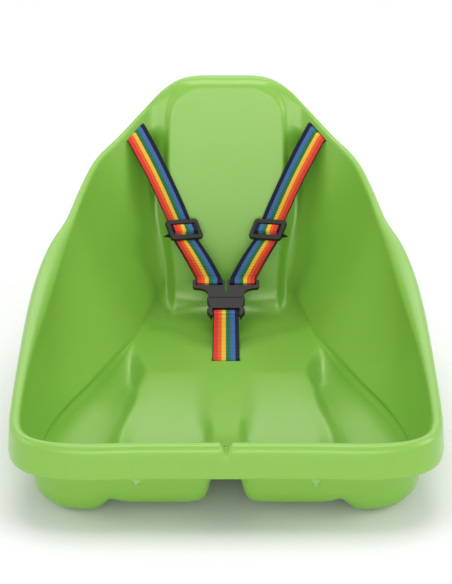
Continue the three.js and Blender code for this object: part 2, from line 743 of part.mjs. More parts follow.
// Right plug half: blade, shoulder and webbing loop.
const loopSlotTop = tongueTop - tongueBar;
const loopSlotBottom = loopSlotTop - tongueSlot;
const loopInner = centreGap / 2 + tongueFrame;
const loopOuter = tongueHalfSpan - 1.5 * tongueFrame;
const loopMiddle = (loopInner + loopOuter) / 2;
const slopeShares = [[0, 0], [0.08, 0.3], [0.22, 0.58], [0.42, 0.8], [0.68, 0.94], [1, 1]];
function tongueSolid() {
  const inner = centreGap / 2;
  const base = gap;
  const slopeEnd = tongueHalfSpan - tongueCorner;
  const slope = slopeShares.map(([x, t]) => [
    mix(mouthHalfWidth, slopeEnd, x), mix(base, loopSlotBottom - tongueShoulder, t),
  ]);
  const body = [
    [inner, base], ...slope, [tongueHalfSpan - tongueCorner / 3, loopSlotBottom - tongueCorner],
    [tongueHalfSpan, loopSlotBottom + tongueCorner / 3], [tongueHalfSpan, tongueTop - tongueCorner],
    [tongueHalfSpan - tongueCorner / 3, tongueTop - tongueCorner / 3],
    [tongueHalfSpan - tongueCorner, tongueTop], [inner + tongueCorner, tongueTop],
    [inner + tongueCorner / 3, tongueTop - tongueCorner / 3], [inner, tongueTop - tongueCorner],
  ];
  const hole = roundedRectangle(loopInner, loopOuter, loopSlotBottom, loopSlotTop, tongueSlot / 3);
  let tongue = plate(body, tongueThickness, buckleMatrix, [hole]);
  const [blockLeft, blockRight] = [inner + gap, mouthHalfWidth - gap];
  const block = [
    [blockLeft, base], [blockRight, base], [blockRight, tongueBody - plateCorner],
    [blockRight - plateCorner, tongueBody], [blockLeft + plateCorner, tongueBody], [blockLeft, tongueBody - plateCorner],
  ];
  tongue = tongue.add(plate(block, tongueBodyThickness, buckleMatrix));
  tongue = tongue.add(plate(
    rectangle(inner, inner + bladeWidth, -bladeLength, 2 * base), bladeThickness, buckleMatrix,
  ));
  const pocketLeft = prongHingeAcross - prongRoot - prongTravel;
  const pocketRight = prongHingeAcross + prongRoot + gap;
  const pocketTop = prongHingeAlong + prongRoot + gap;
  return tongue.subtract(plate(
    rectangle(pocketLeft, pocketRight, -pocketTop, pocketTop), cavityThickness, buckleMatrix,
  ));
}

// Right release prong: root in the shoulder, arm through the mouth and a grip outside the window.
function prongSolid() {
  const armInner = mouthHalfWidth - mouthStrip - 1.5 * gap - prongArm;
  const armOuter = armInner + prongArm;
  const root = [];
  const rootSteps = 12;
  for (let k = 0; k < rootSteps; k += 1) {
    const angle = 2 * Math.PI * k / rootSteps;
    root.push([prongHingeAcross + prongRoot * Math.cos(angle), prongHingeAlong + prongRoot * Math.sin(angle)]);
  }
  const neck = rectangle(prongHingeAcross - prongRoot / 2, prongHingeAcross + prongRoot / 2, -gap, prongHingeAlong);
  const arm = [
    [armInner, gap], [armInner, -prongLength + prongArm], [armInner + prongArm / 2, -prongLength],
    [armOuter, -prongLength], [prongGripHalfSpan, -prongLength + 2 * prongArm],
    [prongGripHalfSpan, -mouthDepth - prongArm], [armOuter + prongArm / 4, -mouthDepth - gap],
    [armOuter, -mouthDepth], [armOuter, gap],
  ].reverse();
  return plate(root, bladeThickness, buckleMatrix)
    .add(plate(neck, bladeThickness, buckleMatrix))
    .add(plate(arm, bladeThickness, buckleMatrix));
}

// Crotch strap: sewn tail, round the housing's bar, over the dish and through the seat slot.
function crotchPath() {
  const w = X.clone().multiplyScalar(webbing / 2);
  const out = barThickness / 2 + bend + gap / 2;
  const main = onBuckle(0, barBottom - gap, out);
  const seat = seatSlot.point.clone().addScaledVector(Z, bend + 2 * gap);
  const away = seat.clone().sub(main).normalize();
  const under = new THREE.Vector3().crossVectors(away, X).normalize();
  if (under.z > 0) under.negate();
  const spacing = webbingThickness + gap;
  const tailEnd = main.clone().addScaledVector(away, tailLength + 2 * barLength).addScaledVector(under, spacing);
  const tailStart = main.clone().addScaledVector(away, 2 * barLength).addScaledVector(under, spacing + gap);
  return [
    ...rounded([
      { c: tailEnd, w },
      { c: tailStart, w, turn: slotTurn },
      { c: onBuckle(0, barBottom - gap, -out - gap), w, turn: strapTurn },
      { c: onBuckle(0, barTop + bend, -out), w, turn: strapTurn },
      { c: onBuckle(0, barTop + bend, out), w, turn: strapTurn },
      { c: main, w, turn: slotTurn },
      { c: seat, w, turn: slotTurn },
      { c: seatSlot.point.clone().addScaledVector(Z, -wall), w },
    ]),
    ...stopWrap(seatSlot),
  ];
}

// Right adjuster frame: a up, b across and m to the front. It leans back from the strap.
const shoulderStart = onBuckle(loopMiddle, tongueTop + bend, 0);
const shoulderAxis = rightSlot.point.clone().sub(shoulderStart).normalize();
const strapFront = new THREE.Vector3(0, -Math.cos(strapFacing), Math.sin(strapFacing));
function turned(angle) {
  const flat = new THREE.Vector3().crossVectors(shoulderAxis, strapFront).normalize();
  return flat.applyAxisAngle(shoulderAxis, -angle);
}
const adjusterA = new THREE.Vector3(0, Math.cos(adjusterRise), Math.sin(adjusterRise)).applyAxisAngle(Z, -adjusterHeading);
const adjusterB = X.clone().applyAxisAngle(Z, -adjusterHeading).applyAxisAngle(adjusterA, -adjusterRoll);
const adjusterM = new THREE.Vector3().crossVectors(adjusterB, adjusterA).normalize();
const adjusterMiddlePoint = shoulderStart.clone().lerp(rightSlot.point, adjusterShare);
const adjusterMatrix = frameMatrix(adjusterB, adjusterA, adjusterM, adjusterMiddlePoint);
const onAdjuster = (a, m) => new THREE.Vector3(0, a, m).applyMatrix4(adjusterMatrix);

function adjusterSolid() {
  const [w, h] = [adjusterWidth / 2, adjusterHeight / 2];
  const inner = w - adjusterSide;
  const opening = [h - adjusterBar, adjusterMiddle / 2];
  const holes = [
    rectangle(-inner, inner, opening[1], opening[0]),
    rectangle(-inner, inner, -opening[0], -opening[1]),
  ];
  let frame = plate(roundedRectangle(-w, w, -h, h, adjusterCorner), adjusterThickness, adjusterMatrix, holes);
  for (const side of [-1, 1]) {
    frame = frame.subtract(plate(
      rectangle(-inner, inner, -opening[0], opening[0]), adjusterThickness, adjusterMatrix, [],
      side * (adjusterMiddleThickness + adjusterThickness) / 2,
    ));
  }
  return frame;
}

// Right shoulder strap: sewn end round the middle bar, down behind, round the tongue's bar,
// up in front, through the adjuster and on to the slot in the wing.
function shoulderPath() {
  const strapHalf = webbing / 2;
  const wMiddle = adjusterB.clone().multiplyScalar(strapHalf);
  const wTurned = turned(shoulderTurn).multiplyScalar(strapHalf);
  const wBar = X.clone().multiplyScalar(strapHalf);
  const wSlot = rightSlot.width.clone().multiplyScalar(strapHalf);
  const spacing = webbingThickness + gap;
  const wrapM = adjusterMiddleThickness / 2 + bend;
  const wrapA = adjusterMiddle / 2 + bend;
  const overM = wrapM + spacing;
  const underM = -(adjusterThickness / 2 + bend);
  const edge = adjusterHeight / 2 + 2 * gap;
  const risingNear = wrapA + halfStrap + adjusterLead / 2;
  const risingFar = wrapA + halfStrap + 2 * adjusterLead;
  const barOut = tongueThickness / 2 + bend;
  const middleX = loopMiddle;
  const topT = tongueTop + bend;
  const slotT = loopSlotTop - bend;
  const layer = webbingThickness + 2 * gap;
  const lower = (share, side) => {
    const start = onAdjuster(-edge, underM - (side < 0 ? layer : 0));
    const bow = strapBow * Math.sin(Math.PI * share);
    return start.lerp(onBuckle(middleX, topT, side * barOut), share).addScaledVector(adjusterM, bow);
  };
  const wLower = (share) => wMiddle.clone().lerp(wBar, ease(share)).setLength(strapHalf);
  const upperRun = rightSlot.point.clone().sub(onAdjuster(edge, underM));
  const upper = (share) => onAdjuster(edge, underM).addScaledVector(upperRun, share)
    .addScaledVector(rightSlot.depth, -bend * 2 * ease(share) - strapLift * Math.sin(Math.PI * share));
  const wUpper = (share) => {
    const w = wMiddle.clone().lerp(wTurned, ease(3 * share));
    return w.lerp(wSlot, ease((share - 0.5) / 0.5)).setLength(strapHalf);
  };
  const steps = [0.2, 0.4, 0.6, 0.8];
  const path = [
    { c: onAdjuster(-wrapA / 2, wrapM), w: wMiddle },
    { c: onAdjuster(wrapA, wrapM), w: wMiddle, turn: strapTurn },
    { c: onAdjuster(wrapA, -wrapM), w: wMiddle, turn: strapTurn },
    { c: onAdjuster(-wrapA, -wrapM), w: wMiddle, turn: strapTurn },
    { c: onAdjuster(-risingFar, underM - layer), w: wMiddle, turn: strapTurn },
    { c: onAdjuster(-edge, underM - layer), w: wMiddle },
    ...steps.map((share) => ({ c: lower(share, -1), w: wLower(share) })),
    { c: onBuckle(middleX, topT, -barOut), w: wBar, turn: slotTurn },
    { c: onBuckle(middleX, slotT, -barOut), w: wBar, turn: strapTurn },
    { c: onBuckle(middleX, slotT, barOut), w: wBar, turn: strapTurn },
    { c: onBuckle(middleX, topT, barOut), w: wBar, turn: slotTurn },
    ...steps.toReversed().map((share) => ({ c: lower(share, 1), w: wLower(share) })),
    { c: onAdjuster(-edge, underM), w: wMiddle },
    { c: onAdjuster(-risingFar, underM), w: wMiddle, turn: strapTurn },
    { c: onAdjuster(-risingNear, overM), w: wMiddle, turn: strapTurn },
    { c: onAdjuster(risingNear, overM), w: wMiddle, turn: strapTurn },
    { c: onAdjuster(risingFar, underM), w: wMiddle, turn: strapTurn },
    { c: onAdjuster(edge, underM), w: wMiddle },
    ...[0.15, 0.3, 0.45, 0.6, 0.7, 0.8, 0.88].map((share) => ({ c: upper(share), w: wUpper(share) })),
    { c: rightSlot.point.clone().addScaledVector(rightSlot.depth, -bend * 2), w: wSlot, turn: slotTurn },
    { c: rightSlot.point.clone().addScaledVector(rightSlot.depth, wall), w: wSlot },
  ];
  return [...rounded(path), ...stopWrap(rightSlot)];
}

// Shell with its cuts.
function cutShell() {
  let shell = shellSolid();
  const slotBox = slotCut(rightSlot);
  shell = shell.subtract(slotBox).subtract(mirrored(slotBox)).subtract(slotCut(seatSlot));
  for (const side of [-1, 1]) {
    const hole = new THREE.CylinderGeometry(ropeHoleRadius, ropeHoleRadius, 2 * filletRadius, 24);
    hole.translate(side * ropeHoleSpan / 2, footAt(0).y, ropeHoleHeight);
    shell = shell.subtract(solid(hole));
  }
  return shell.subtract(box(
    2 * halfWidth, 2 * halfLength, backHeight, new THREE.Matrix4().makeTranslation(0, 0, -backHeight / 2),
  ));
}

// Mirror image of a solid, left for right.
function mirrored(manifold) {
  const geometry = fromSolid(manifold);
  const position = geometry.attributes.position;
  for (let i = 0; i < position.count; i += 1) position.setX(i, -position.getX(i));
  const index = geometry.index.array;
  for (let i = 0; i < index.length; i += 3) [index[i], index[i + 1]] = [index[i + 1], index[i]];
  return solid(geometry);
}

const sled = new THREE.Group();
const add = (name, manifold, color, roughness) => {
  const mesh = new THREE.Mesh(fromSolid(manifold), new THREE.MeshStandardMaterial({ color, roughness, metalness: 0 }));
  mesh.name = name;
  sled.add(mesh);
};
const addPair = (name, manifold, color, roughness) => {
  add(`right_${name}`, manifold, color, roughness);
  add(`left_${name}`, mirrored(manifold), color, roughness);
};

const green = 0x7ab441;
const charcoal = 0x423e3c;
const red = 0xd8432f;
const grey = 0x55524f;
add("sled_shell", cutShell(), green, 0.35);
add("buckle_housing", housingSolid(), charcoal, 0.45);
addPair("buckle_tongue", tongueSolid(), charcoal, 0.45);
addPair("release_prong", prongSolid(), charcoal, 0.45);
add("crotch_strap", solid(ribbon(crotchPath(), webbingThickness)), red, 0.9);
addPair("adjuster", adjusterSolid(), charcoal, 0.5);
addPair("shoulder_strap", solid(ribbon(shoulderPath(), webbingThickness)), red, 0.9);
add("crotch_strap_stop", stopRod(seatSlot), grey, 0.6);
addPair("strap_stop", stopRod(rightSlot), grey, 0.6);
export default sled;
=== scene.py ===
"""Baby pull sled: fine shell, woven harness and buckle over the CAD frame.

Lengths are in millimetres until a mesh is made. Materials, lights, floor and camera are in metres.
"""
import json
import math

import bmesh
import bpy
import numpy as np
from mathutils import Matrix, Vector

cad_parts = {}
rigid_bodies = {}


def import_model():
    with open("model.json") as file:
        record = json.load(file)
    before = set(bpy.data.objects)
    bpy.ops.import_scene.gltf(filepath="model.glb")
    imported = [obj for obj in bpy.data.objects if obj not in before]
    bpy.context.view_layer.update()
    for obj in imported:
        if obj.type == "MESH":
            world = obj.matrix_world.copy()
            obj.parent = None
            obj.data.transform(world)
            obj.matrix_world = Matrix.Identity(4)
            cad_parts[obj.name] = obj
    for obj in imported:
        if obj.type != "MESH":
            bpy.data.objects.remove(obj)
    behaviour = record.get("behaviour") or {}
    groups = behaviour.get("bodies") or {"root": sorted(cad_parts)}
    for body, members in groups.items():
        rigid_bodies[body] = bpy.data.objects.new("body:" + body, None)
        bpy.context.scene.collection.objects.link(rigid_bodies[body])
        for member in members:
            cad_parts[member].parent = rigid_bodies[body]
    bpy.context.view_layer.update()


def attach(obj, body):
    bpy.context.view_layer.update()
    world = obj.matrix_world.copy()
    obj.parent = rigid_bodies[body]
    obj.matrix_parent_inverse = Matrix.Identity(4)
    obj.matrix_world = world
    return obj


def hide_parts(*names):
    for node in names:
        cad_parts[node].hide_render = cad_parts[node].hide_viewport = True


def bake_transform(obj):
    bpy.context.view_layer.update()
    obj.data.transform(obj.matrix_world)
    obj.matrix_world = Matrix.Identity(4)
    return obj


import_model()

MM = 0.001

# Sizes and station tables of the shell, the same as in the CAD source.
HALF_WIDTH = 204
HALF_LENGTH = 311
BACK_HEIGHT = 282
WALL = 3.2
SKIRT_WALL = 2.4
ROLL_WIDTH = 17.5
SKIRT_DEPTH = 33
FILLET_RADIUS = 36
SIDE_BULGE = 9
FOOT_HEIGHT = 28
GROUND_TRIM = 0.3
WELL_HEIGHT = 13
SEAT_HEIGHT = 26
DISH_HEIGHT = 3.1
RUNNER_HEIGHT = WALL - GROUND_TRIM
RIDGE_NOSE_HEIGHT = 52
RIDGE_HALF_WIDTH = 12
RIDGE_NOSE_SIDE = 11
RIDGE_NOSE_START = 150
RIDGE_NOSE_RUN = 130
SEAT_FRONT_START = -150
SEAT_FRONT_RUN = 150
DISH_START = 45
DISH_RUN = 112
DISH_VEE_SHARE = 0.75
RUNNER_SIDE = 20
EDGE_BEAD = 5
EDGE_BEAD_WIDTH = 16
POCKET_FADE = 42
PAD_RISE = 11
PAD_HALF_WIDTH = 72
PAD_TOP_HALF_WIDTH = 64
PAD_TOP_INSET = 14
PAD_TOP = BACK_HEIGHT - PAD_TOP_INSET
PAD_BOTTOM = 38
PAD_EDGE = 11
PAD_CORNER = 40
GUTTER_DEPTH = 12
GUTTER_WIDTH = 12.5
GUTTER_OFFSET = 12.2
GUTTER_BOW = 9
GUTTER_SLOT_CLEARANCE = 22
NOTCH_HALF_WIDTH = 7
NOTCH_DEPTH = 7
ROPE_HOLE_RADIUS = 4
ROPE_HOLE_SPAN = 164
ROPE_HOLE_HEIGHT = 42
ROLL_EASE_SHARE = 0.45
BACK_PAD_SHARE = 0.68
BACK_PAD_FADE_SHARE = 0.06
EDGE_LIMIT_SHARE = 0.93
SKIRT_FLARE_SHARE = 0.05
STRAP_SLOT_SHARE = 0.8028
SLOT_INSET = 9
RIM_SHARES = [
    [0.000, -0.947, 0.305], [0.368, -0.947, 0.304], [0.672, -0.945, 0.301], [0.843, -0.912, 0.300],
    [0.922, -0.834, 0.305], [0.939, -0.706, 0.333], [0.939, -0.523, 0.369], [0.934, -0.330, 0.402],
    [0.926, -0.121, 0.434], [0.912, 0.088, 0.472], [0.882, 0.259, 0.521], [0.836, 0.410, 0.567],
    [0.792, 0.580, 0.631], [0.721, 0.735, 0.707], [0.600, 0.838, 0.775], [0.461, 0.915, 0.869],
    [0.348, 0.950, 0.947], [0.221, 0.965, 0.991], [0.000, 0.969, 0.996],
]
FOOT_SHARES = [
    [0.000, -0.905], [0.368, -0.905], [0.665, -0.902], [0.818, -0.863], [0.875, -0.780],
    [0.882, -0.658], [0.850, -0.474], [0.786, -0.304], [0.691, -0.121], [0.598, 0.079],
    [0.515, 0.265], [0.480, 0.420], [0.456, 0.564], [0.431, 0.683], [0.417, 0.760],
    [0.392, 0.805], [0.324, 0.828], [0.196, 0.834], [0.000, 0.838],
]
SECTION_SHARES = [
    [0.8, 0.939, 0.72, 0.0], [0.8, 0.939, 0.72, 0.1], [0.8, 0.94, 0.72, 0.1], [0.714, 0.93, 0.72, 0.1],
    [0.629, 0.93, 0.75, 0.1], [0.6, 0.9, 0.75, 0.2], [0.686, 0.818, 0.75, 0.45], [0.829, 0.667, 0.72, 0.65],
    [0.971, 0.545, 0.7, 0.9], [1.0, 0.485, 0.55, 1.0], [0.857, 0.455, 0.389, 1.0], [0.543, 0.394, 0.333, 0.9],
    [0.457, 0.303, 0.389, 0.8], [0.429, 0.212, 0.556, 0.65], [0.4, 0.167, 0.778, 0.45],
    [0.4, 0.167, 0.944, 0.2],
    [0.429, 0.212, 1.0, 0.0], [0.486, 0.242, 1.0, 0.0], [0.514, 0.242, 1.0, 0.0],
]
EDGE_SHARES = [
    [-1.0, 0.565], [-0.466, 0.56], [-0.145, 0.49], [0.035, 0.456], [0.26, 0.475], [0.42, 0.455], [1.0, 0.3],
]
CREASE_SHARES = [[0, 0], [4.6, 0], [6.2, 1], [9.2, 1], [10.6, 0], [18, 0]]
ROLL_SHARES = [[1.0, -0.55], [0.94, -0.22], [0.72, 0.05], [0.36, 0.1]]
WALL_SHARES = [0.14, 0.28, 0.42, 0.56, 0.7, 0.84, 0.94, 1.0]
SEAT_COLUMN_SHARES = [0.0, 0.065, 0.11, 0.15, 0.2, 0.34, 0.54, 0.74, 0.86, 0.94, 1.0]
POCKET_COLUMN_SHARES = [0.14, 0.32, 0.6, 0.83, 0.95, 1.0]
ROW_SHARES = [
    2.55, 3.0, 3.5, 4.0, 4.6, 5.3, 6.0, 6.7, 7.3, 7.75, 8.0, 8.25, 8.6, 9.0, 9.5, 10.0,
    10.6, 11.2, 11.9, 12.6, 13.2, 13.7, 14.05, 14.35, 14.65, 14.9, 15.2,
]

# Sizes of the harness and the buckle, the same as in the CAD source.
WEBBING = 30
WEBBING_THICKNESS = 1.6
GAP = 0.35
SLOT_PLAY = 2
SLOT_HEIGHT = 5
CROTCH_SLOT_Y = 34.4
STOP_RADIUS = 2.6
WING_STOP_CLEARANCE = 2.6
SEAT_STOP_CLEARANCE = 0.7
STRAP_LIFT = 4
STRAP_BOW = 1.5
STRAP_TURN = 1.4
SLOT_TURN = 2.2
TAIL_LENGTH = 34
BUCKLE_SETBACK = 58.5
BUCKLE_Z = 40.7
BUCKLE_TILT = math.radians(34)
PLATE_LENGTH = 23.5
HOUSING_SLOT = 3.6
BAR_LENGTH = 5
BAR_THICKNESS = 4
TONGUE_HALF_SPAN = 40
TONGUE_TOP = 19.6
TONGUE_BAR = 4.4
TONGUE_FRAME = 2.6
TONGUE_THICKNESS = 4.6
CENTRE_GAP = 2.4
ADJUSTER_SHARE = 0.34
ADJUSTER_WIDTH = 41.4
ADJUSTER_HEIGHT = 28.8
ADJUSTER_THICKNESS = 4
ADJUSTER_MIDDLE = 3.4
ADJUSTER_MIDDLE_THICKNESS = 2.4
ADJUSTER_HEADING = math.radians(22.3)
ADJUSTER_RISE = math.radians(33.4)
ADJUSTER_ROLL = math.radians(5.2)
STRAP_FACING = math.radians(20.5)
SHOULDER_TURN = math.radians(29)
ADJUSTER_LEAD = 1.9
HALF_STRAP = WEBBING_THICKNESS / 2
LOWER_SPLIT_SHARE = 0.62

# Finer forms of the moulding than the CAD shell carries.
PAD_WIDER = 5
PAD_WAIST = 12
PAD_WAIST_RUN = 110
PAD_HIGHER = 8
PAD_LIP = 6
PAD_LIP_SHARE = 0.45
PAD_SPREAD = 26
PAD_FOOT_SPREAD = 9
GUTTER_SPREAD = 2
GUTTER_SHARE = 0.4
CHANNEL_OFFSET = 71
CHANNEL_LEAN = 11
CHANNEL_WIDTH = 13
CHANNEL_DEPTH = 6
CHANNEL_END = 95
CHANNEL_END_RUN = 60
GUTTER_END = 24
GUTTER_END_RUN = 32
PAD_FOOT_RUN = 60
CREASE_STEP = 3.2
CREASE_STEP_SHARE = 0.965
CREASE_RUN_SHARE = 1 - CREASE_STEP_SHARE
WELL_ROUNDING = 1.6
WELL_FRONT_STATION = 2.5
WELL_BACK_STATION = 7.5
WELL_BACK_RUN = 2
PANEL_INSET = 9
PANEL_INSET_RUN_SHARE = 0.25
SEAT_FRONT_CRISP = 0.8
ROUND_POWER = 2
BACK_FILLET_POWER = 3.6
BACK_FILLET_STATION = 14.4
BACK_FILLET_RUN = 0.8
BACK_LEAN = 0.14
NOTCH_TIGHTER = 1.5
RIDGE_SOFT_SIDE = 28
RIDGE_SOFT_END = -90
RIDGE_SOFT_RUN = 50

# Grid of the fine shell: parts that each interval of the CAD source's grid is split into.
MIDDLE_PARTS = 5
SEAT_PARTS = 2
POCKET_PARTS = 3
ROW_PARTS = 3
ROLL_PARTS = 2
WALL_TOP_PARTS = 6
WALL_PARTS = 3
SKIRT_STEP_SHARES = [0.12, 0.5]
ROLL_SIDE_WEIGHT = 0.25
TANGENT_STEP = 0.02
FOOT_STEPS = 20
HALVINGS = 40
HOLE_SIDES = 48
CUT_DEPTH = 4 * WALL
SHELL_SHARP_ANGLE = math.radians(50)

# Harness: steps, edges and corners of the ribbons, the strap tips and the bevel of the buckle's parts.
RIBBON_STEP = 2.5
RIBBON_EDGE_SHARE = 0.09
RIBBON_EDGE_THINNING = 0.84
RIBBON_SHARP_ANGLE = math.radians(70)
SHARPEST_MITRE = 0.5
CORNER_STEPS = 6
CORNER_REACH_SHARE = 0.45
WRAP_STEPS = 14
UPPER_SHARES = np.linspace(0.06, 0.9, 15)
UPPER_TURN_RATE = 3
UPPER_FLATTEN_SHARE = 0.5
LOWER_SHARES = np.linspace(0, 1, 13)
PINCH_DROP = 2.8
PINCH_DEPTH = 1.9
TIP_INSET = 6
TIP_OVERHANG = 6.5
TIP_TOP = 1
TIP_BOTTOM = -9
TIP_POINT = -5.5
BEVEL = 0.5
BEVEL_SEGMENTS = 3
BEVEL_ANGLE = math.radians(28)

# Places that follow from the sizes above.
BEND = GAP + HALF_STRAP
LAST_STATION = len(RIM_SHARES) - 1
FRONT_CORNER = ROW_SHARES[0]
BACK_CORNER = ROW_SHARES[-1]


def mix(a, b, s):
    return a + (b - a) * s


def clamp01(s):
    return np.clip(s, 0, 1)


def ease(s):
    s = clamp01(s)
    return s * s * (3 - 2 * s)


def unit(v):
    v = np.asarray(v, float)
    return v / np.linalg.norm(v)


def along(rows, column, station, mirror=1):
    """Smooth curve through one column of a station table, mirrored at both ends."""
    last = len(rows) - 1
    k = min(last - 1, max(0, int(math.floor(station))))
    f = station - k

    def at(i):
        if i < 0:
            return mirror * rows[-i][column]
        if i > last:
            return mirror * rows[2 * last - i][column]
        return rows[i][column]

    a, b, c, d = at(k - 1), at(k), at(k + 1), at(k + 2)
    return b + 0.5 * f * (c - a + f * (2 * a - 5 * b + 4 * c - d + f * (3 * (b - c) + d - a)))


def eased_table(rows, x):
    """Value at x between the rows of a table, with level ends at each row."""
    k = int(np.clip(np.searchsorted([r[0] for r in rows], x) - 1, 0, len(rows) - 2))
    (x0, y0), (x1, y1) = rows[k], rows[k + 1]
    return mix(y0, y1, ease((x - x0) / (x1 - x0)))


def rim_at(s):
    return np.array([
        HALF_WIDTH * along(RIM_SHARES, 0, s, -1),
        HALF_LENGTH * along(RIM_SHARES, 1, s),
        BACK_HEIGHT * along(RIM_SHARES, 2, s),
    ])


def foot_height_at(x, y):
    nose = ease((-RIDGE_NOSE_START - y) / RIDGE_NOSE_RUN)
    side = 1 - ease((np.abs(x) - RIDGE_HALF_WIDTH) / RIDGE_NOSE_SIDE)
    return mix(FOOT_HEIGHT, max(FOOT_HEIGHT, RIDGE_NOSE_HEIGHT), nose * side)


def foot_at(s):
    x = HALF_WIDTH * along(FOOT_SHARES, 0, s, -1)
    y = HALF_LENGTH * along(FOOT_SHARES, 1, s)
    return np.array([x, y, float(foot_height_at(x, y))])


def section_at(s):
    sizes = (ROLL_WIDTH, SKIRT_DEPTH, FILLET_RADIUS, SIDE_BULGE)
    return [size * along(SECTION_SHARES, i, s) for i, size in enumerate(sizes)]


def rim_frame(s):
    tangent = unit(rim_at(s + TANGENT_STEP) - rim_at(s - TANGENT_STEP))
    out = unit([tangent[1], -tangent[0], 0])
    up = unit(np.cross(out, tangent))
    return tangent, out, up


def notch(p):
    """Depth of the V notch in the front lip at a point."""
    if p[1] >= 0:
        return 0
    return NOTCH_DEPTH * max(0, 1 - abs(p[0]) / (NOTCH_HALF_WIDTH - NOTCH_TIGHTER))


def rim_point(s, out_share, up_share, flare=0, drop=0):
    _, out, up = rim_frame(s)
    roll = section_at(s)[0]
    return rim_at(s) + out * (roll * out_share + flare) + up * (roll * up_share - drop)


def wall_top(s):
    roll = section_at(s)[0]
    rim = rim_at(s)
    return rim + unit(foot_at(s) - rim) * (ROLL_EASE_SHARE * roll * roll / ROLL_WIDTH)


def pad_at(x, z):
    """How far the back pad stands out of the wall behind it."""
    up = ease((z - PAD_BOTTOM) / (PAD_TOP - PAD_BOTTOM))
    half = mix(PAD_HALF_WIDTH, PAD_TOP_HALF_WIDTH, up) + PAD_WIDER
    half -= PAD_WAIST * (1 - ease((z - PAD_BOTTOM) / PAD_WAIST_RUN))
    dx = max(0, abs(x) - (half - PAD_CORNER))
    dz = max(0, z - (PAD_TOP + PAD_HIGHER - PAD_CORNER))
    inside = PAD_CORNER - math.hypot(dx, dz)
    spread = mix(PAD_FOOT_SPREAD, PAD_SPREAD, ease((z - 2 * PAD_BOTTOM) / PAD_WAIST_RUN))
    return PAD_RISE * mix(ease(inside / spread + 1), ease(inside / PAD_LIP + 0.5), PAD_LIP_SHARE)


def gutter_at(x, z):
    """Depth of the wide gutter beside the pad and of the thin channel in its upper part."""
    top = RIGHT_SLOT["point"][2] - GUTTER_SLOT_CLEARANCE
    upper = 1 - ease((z - top) / (2 * PAD_EDGE))
    middle = foot_at(BACK_CORNER)[0] + GUTTER_OFFSET
    middle += GUTTER_BOW * math.sin(math.pi * clamp01(z / top))
    q = clamp01(abs(abs(x) - middle) / (GUTTER_SPREAD * GUTTER_WIDTH))
    wide = GUTTER_SHARE * GUTTER_DEPTH * (1 - q * q) ** 2 * ease((z - GUTTER_END) / GUTTER_END_RUN)
    middle = CHANNEL_OFFSET + CHANNEL_LEAN * ease(z / top)
    q = clamp01(abs(abs(x) - middle) / CHANNEL_WIDTH)
    channel = CHANNEL_DEPTH * (1 - q ** 4) ** 2 * ease((z - CHANNEL_END) / CHANNEL_END_RUN)
    return (wide + channel) * upper


def wall_point(s, share):
    p = mix(wall_top(s), foot_at(s), share)
    low = ease((share - CREASE_STEP_SHARE) / CREASE_RUN_SHARE)
    crease = CREASE_STEP * eased_table(CREASE_SHARES, s) * low
    p = p + rim_frame(s)[1] * (section_at(s)[3] * 4 * share * (1 - share) + crease)
    behind = ease((p[1] - HALF_LENGTH * BACK_PAD_SHARE) / (HALF_LENGTH * BACK_PAD_FADE_SHARE))
    p[1] += behind * (gutter_at(p[0], p[2]) - pad_at(p[0], p[2]))
    return p


def section_points(s, roll_shares, wall_shares):
    """Inner face at one station, from the skirt's lower edge over the roll and down the wall."""
    skirt = section_at(s)[1]
    edge = rim_point(s, roll_shares[0][0], 0, skirt * SKIRT_FLARE_SHARE, skirt)
    first = rim_point(s, *roll_shares[0])
    points = [edge] + [mix(edge, first, share) for share in SKIRT_STEP_SHARES]
    points += [rim_point(s, o, u) for o, u in roll_shares]
    start = wall_point(s, 0)
    middle = rim_at(s) * (1 - 2 * ROLL_SIDE_WEIGHT)
    points.append(points[-1] * ROLL_SIDE_WEIGHT + middle + start * ROLL_SIDE_WEIGHT)
    points.append(start)
    count = len(points)
    points += [wall_point(s, share) for share in wall_shares]
    for k in range(1 + len(SKIRT_STEP_SHARES), count):
        points[k][2] -= notch(points[k])
    return points


def edge_at(y):
    inset = PANEL_INSET * (1 - ease(y / (HALF_LENGTH * PANEL_INSET_RUN_SHARE)))
    return HALF_WIDTH * eased_table(EDGE_SHARES, y / HALF_LENGTH) - inset


def plain_floor(x, y, foot_x):
    """Height of seat, leg wells, ridge and runner bulges, before the fillet to the walls."""
    ax = abs(x)
    slope = (y - SEAT_FRONT_START) / SEAT_FRONT_RUN
    seat_mask = mix(ease(slope), clamp01(slope), SEAT_FRONT_CRISP)
    nose = ease((-RIDGE_NOSE_START - y) / RIDGE_NOSE_RUN)
    side = mix(RIDGE_SOFT_SIDE, RIDGE_NOSE_SIDE, ease((RIDGE_SOFT_END - y) / RIDGE_SOFT_RUN))
    ridge_mask = 1 - ease((ax - RIDGE_HALF_WIDTH) / side)
    dish = ease((y - DISH_START - DISH_VEE_SHARE * ax) / DISH_RUN)
    top = mix(SEAT_HEIGHT, RIDGE_NOSE_HEIGHT, nose) if y < 0 else mix(SEAT_HEIGHT, DISH_HEIGHT, dish)
    edge = edge_at(y)
    bead = (1 - seat_mask) * EDGE_BEAD * (1 - ease(abs(ax - edge) / EDGE_BEAD_WIDTH))
    inner = mix(WELL_HEIGHT, top, 1 - (1 - seat_mask) * (1 - ridge_mask)) + bead
    depth = ease((foot_x - edge) / POCKET_FADE)
    return mix(inner, RUNNER_HEIGHT, depth * ease((ax - edge) / RUNNER_SIDE))


FOOT_LINE = np.array([foot_at(i / FOOT_STEPS) for i in range(LAST_STATION * FOOT_STEPS + 1)])


